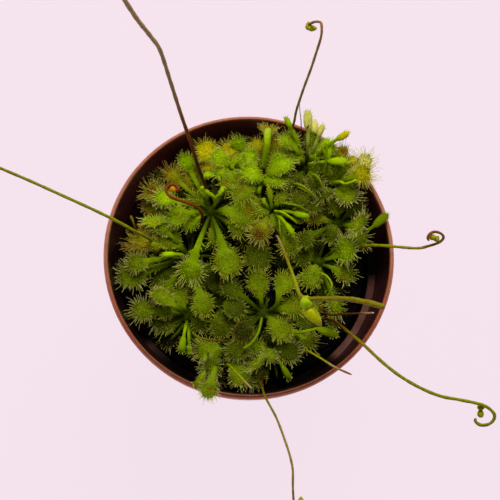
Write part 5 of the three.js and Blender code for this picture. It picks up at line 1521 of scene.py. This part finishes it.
# ---------------------------------------------------------------- what else lies in the pot
# Loose strands: radius, colour of the stalks' group, and their points.
STRANDS = (
    (0.24, "sprout", ((14.5, -2.7, 47), (15.9, -4.0, 49.6), (16.9, -5.7, 50.6), (16.9, -7.2, 50.4),
                      (16.3, -8.3, 48.5))),
    (0.22, "leafy", ((9.7, 15.4, 49), (11.0, 14.2, 51), (12.4, 13.2, 51.5), (13.6, 12.1, 50))),
    (0.3, "leafy", ((9.2, 15.6, 50), (10.4, 14.6, 52.6), (12.0, 13.5, 53), (13.6, 12.2, 52))),
    (0.26, "leafy", ((5.6, 9.6, 49), (6.2, 7.4, 51), (6.3, 5.2, 51.4), (6.6, 3.4, 50.4))),
    (0.36, "sprout", ((17.6, 16, 49.6), (18.8, 15.2, 53), (19.7, 14.5, 54), (20.7, 14.6, 54.6),
                      (22, 15.1, 54.8))),
    (0.3, "leafy", ((15.6, 16.8, 51), (15.8, 19.0, 54), (15.9, 21.2, 55.6), (15.6, 22.6, 56.2))),
    (0.24, "leafy", ((6.4, 11.4, 50), (8.2, 10.6, 52), (10.2, 10.0, 52.6), (12.2, 9.2, 51.6))),
    (0.24, "leafy", ((12.4, 17.6, 50), (13.6, 16.6, 53), (14.6, 15.2, 53.8), (15.2, 13.6, 53))),
    (0.6, "sprout", ((-9.9, 14.0, 51.4), (-9.4, 13.4, 52), (-8.5, 12.7, 51.9), (-7.6, 12.3, 51.2),
                     (-7.1, 11.6, 50))),
    (0.55, "sprout", ((-5.6, 14.0, 51.6), (-5.7, 13.3, 52), (-6.2, 12.6, 51.8), (-6.8, 12.1, 51),
                      (-7.1, 11.4, 49.8))),
    (0.85, "sprout", ((3.8, 26, 53.4), (3.6, 24.6, 55.2), (3.5, 23, 55.8), (3.4, 21.6, 54.9),
                      (3.2, 20.2, 53.3), (3.1, 18.8, 51.2))),
    (0.3, "sprout", ((5.4, 9.7, 49.6), (6.9, 8.8, 51.8), (8.6, 7.5, 52.3), (9.9, 6.6, 51.6))),
    (0.45, "ruddy", ((-23.3, 7.4, 46), (-23, 6.6, 47.2), (-22.6, 5.8, 47))),
    (0.35, "olive", ((-24.9, 9.4, 45), (-24.5, 8.4, 46), (-24, 7, 45))),
    (0.55, "leafy", ((2.0, 13.6, 49.8), (2.1, 14.2, 50.2), (2.4, 15.0, 49.8), (2.8, 15.8, 48.4))),
    (0.55, "leafy", ((3.0, 12.0, 50.6), (3.1, 11.2, 50.8), (3.7, 10.6, 50.2), (4.5, 10.3, 48.8))),
    (0.34, "leafy", ((-1.0, -19.2, 48), (0.6, -18.1, 48.8), (2.0, -15.8, 49), (2.7, -12.6, 47.6))),
    (0.17, "drop", ((24.7, -12.7, 54.1), (24.9, -12.7, 54.2), (25.1, -12.7, 54.2))),
    (0.12, "tan", ((11.0, 26.4, 50), (10.5, 26.9, 57), (9.9, 27.2, 62), (9.4, 27.4, 67))),
    (0.25, "ruddy", ((11.4, 25.9, 47), (11.6, 26.0, 52), (12.0, 25.9, 57.5))),
)


def build_strands(scene):
    """Loose strands and curled young leaves: round bars through their points that thin towards the end."""
    shell = Shell()
    for radius, name, points in STRANDS:
        path = smooth_path(np.array(points, float), STRAND_STEPS)
        radii = np.linspace(radius, STRAND_END * radius, len(path))
        tints = np.tile(tone(getattr(scene.sundew_stalks, name)), (len(path), 1))
        add_bar(shell, path, radii, tints, STRAND_SIDES)
    shell.piece("dry_strands", [stalk_finish()], "stalk_olive")


# ---------------------------------------------------------------- stage
CAMERA = (-9.42, -60.82, 304.44)
TARGET = (0.10, 0.68, 52.0)         # what the camera and the lights are aimed at
SENSOR = 36                 # width of the camera's sensor
FLOOR_REACH = 2500.0        # half the floor's width
# The soft lights: the name, which is also that of the power's setting, the two sides, and the place.
LIGHTS = (("key", (260, 220), (60, 270, 450)), ("strip", (60, 260), (-300, 120, 260)))


def aim(thing, place):
    """Puts a camera or light at a place, looking at the target, with its top towards the north."""
    back = unit(np.subtract(place, TARGET))
    right = unit(np.cross((0, 1, 0), back))
    turn = np.stack([right, np.cross(back, right), back], axis=-1)
    thing.matrix_world = Matrix.Translation(np.array(place) * MM) @ Matrix(turn.tolist()).to_4x4()


def add_light(name, power, warmth, size, place):
    """A rectangular light that is aimed at the plant, sizes and places in millimetres."""
    data = bpy.data.lights.new(name, "AREA")
    data.shape, data.size, data.size_y = "RECTANGLE", size[0] * MM, size[1] * MM
    data.energy, data.color = power, warmth
    lamp = bpy.data.objects.new(name, data)
    bpy.context.scene.collection.objects.link(lamp)
    aim(lamp, place)


def show_backdrop(tree, sky, stage):
    """What is seen past the floor's edge has the floor's colour, and lights nothing."""
    backdrop, choice, path = (tree.nodes.new("ShaderNode" + kind)
                              for kind in ("Background", "MixShader", "LightPath"))
    backdrop.inputs["Color"].default_value = opaque(stage.floor)
    tree.links.new(path.outputs["Is Camera Ray"], choice.inputs["Fac"])
    tree.links.new(sky.outputs["Background"], choice.inputs[1])
    tree.links.new(backdrop.outputs["Background"], choice.inputs[2])
    tree.links.new(choice.outputs["Shader"], tree.nodes["World Output"].inputs["Surface"])


def add_floor(scene, stage):
    """A wide level floor at the pot's foot."""
    reach = FLOOR_REACH * MM
    corners = [(-reach, -reach, 0), (reach, -reach, 0), (reach, reach, 0), (-reach, reach, 0)]
    mesh = bpy.data.meshes.new("floor")
    mesh.from_pydata(corners, [], [(0, 1, 2, 3)])
    mesh.materials.append(floor_finish(stage))
    floor = bpy.data.objects.new("floor", mesh)
    scene.collection.objects.link(floor)


def add_sky(scene, stage):
    """Even light from all sides, before the backdrop."""
    scene.world = bpy.data.worlds.new("sky")
    scene.world.use_nodes = True
    sky = scene.world.node_tree.nodes["Background"]
    sky.inputs["Color"].default_value = opaque(stage.warm)
    sky.inputs["Strength"].default_value = stage.sky
    show_backdrop(scene.world.node_tree, sky, stage)


def add_camera(scene, stage):
    """The camera, which looks down on the plant from the front."""
    camera = bpy.data.objects.new("camera", bpy.data.cameras.new("camera"))
    camera.data.lens, camera.data.sensor_width = stage.lens, SENSOR
    camera.data.clip_start, camera.data.clip_end = 0.01, 20
    scene.collection.objects.link(camera)
    aim(camera, CAMERA)
    scene.camera = camera


def build_stage(scene):
    """The floor, the even light of the sky, two soft lights and the camera."""
    stage = scene.sundew_stage
    add_floor(scene, stage)
    add_sky(scene, stage)
    for name, size, place in LIGHTS:
        add_light(name, getattr(stage, name), stage.warm, size, place)
    add_camera(scene, stage)
    scene.view_settings.view_transform = "Standard"


# ---------------------------------------------------------------- the add-on's operators and panel
class SUNDEW_OT_pot(bpy.types.Operator):
    """Build the nursery pot"""

    bl_idname = "sundew.pot"
    bl_label = "Pot"

    def execute(self, context):
        build_pot(context.scene)
        return {"FINISHED"}


class SUNDEW_OT_peat(bpy.types.Operator):
    """Build the peat"""

    bl_idname = "sundew.peat"
    bl_label = "Peat"

    def execute(self, context):
        build_peat(context.scene)
        return {"FINISHED"}


class SUNDEW_OT_rosettes(bpy.types.Operator):
    """Build the rosettes of leaves with their tentacles"""

    bl_idname = "sundew.rosettes"
    bl_label = "Rosettes"

    def execute(self, context):
        build_rosettes(context.scene)
        return {"FINISHED"}


class SUNDEW_OT_stalks(bpy.types.Operator):
    """Build the flower stalks"""

    bl_idname = "sundew.stalks"
    bl_label = "Flower stalks"

    def execute(self, context):
        build_stalks(context.scene)
        return {"FINISHED"}


class SUNDEW_OT_buds(bpy.types.Operator):
    """Build the flower buds"""

    bl_idname = "sundew.buds"
    bl_label = "Flower buds"

    def execute(self, context):
        build_buds(context.scene)
        return {"FINISHED"}


class SUNDEW_OT_strands(bpy.types.Operator):
    """Build the dry strands among the leaves"""

    bl_idname = "sundew.strands"
    bl_label = "Dry strands"

    def execute(self, context):
        build_strands(context.scene)
        return {"FINISHED"}


class SUNDEW_OT_stage(bpy.types.Operator):
    """Build the floor, the lights and the camera"""

    bl_idname = "sundew.stage"
    bl_label = "Stage"

    def execute(self, context):
        build_stage(context.scene)
        return {"FINISHED"}


OPERATORS = (
    SUNDEW_OT_stage, SUNDEW_OT_pot, SUNDEW_OT_peat, SUNDEW_OT_rosettes, SUNDEW_OT_stalks, SUNDEW_OT_buds,
    SUNDEW_OT_strands,
)
GROUPS = {
    "sundew_pot": SundewPot, "sundew_peat": SundewPeat, "sundew_leaves": SundewLeaves,
    "sundew_stalks": SundewStalks, "sundew_stage": SundewStage,
}


class SUNDEW_PT_panel(bpy.types.Panel):
    """Lists the sizes, the colours and the operators"""

    bl_idname = "SUNDEW_PT_panel"
    bl_label = "Potted Sundew"
    bl_space_type = "VIEW_3D"
    bl_region_type = "UI"
    bl_category = "Sundew"

    def draw(self, context):
        for name, kind in GROUPS.items():
            box = self.layout.box()
            box.label(text=kind.__doc__)
            for setting in kind.__annotations__:
                box.prop(getattr(context.scene, name), setting)
        for operator in OPERATORS:
            self.layout.operator(operator.bl_idname)


CLASSES = (*GROUPS.values(), *OPERATORS, SUNDEW_PT_panel)


def register():
    for kind in CLASSES:
        bpy.utils.register_class(kind)
    for name, kind in GROUPS.items():
        setattr(bpy.types.Scene, name, PointerProperty(type=kind))


def unregister():
    for name in GROUPS:
        delattr(bpy.types.Scene, name)
    for kind in reversed(CLASSES):
        bpy.utils.unregister_class(kind)


def main():
    """Builds every piece in order."""
    register()
    for operator in OPERATORS:
        group, name = operator.bl_idname.split(".")
        getattr(getattr(bpy.ops, group), name)()


if __name__ == "__main__":
    main()
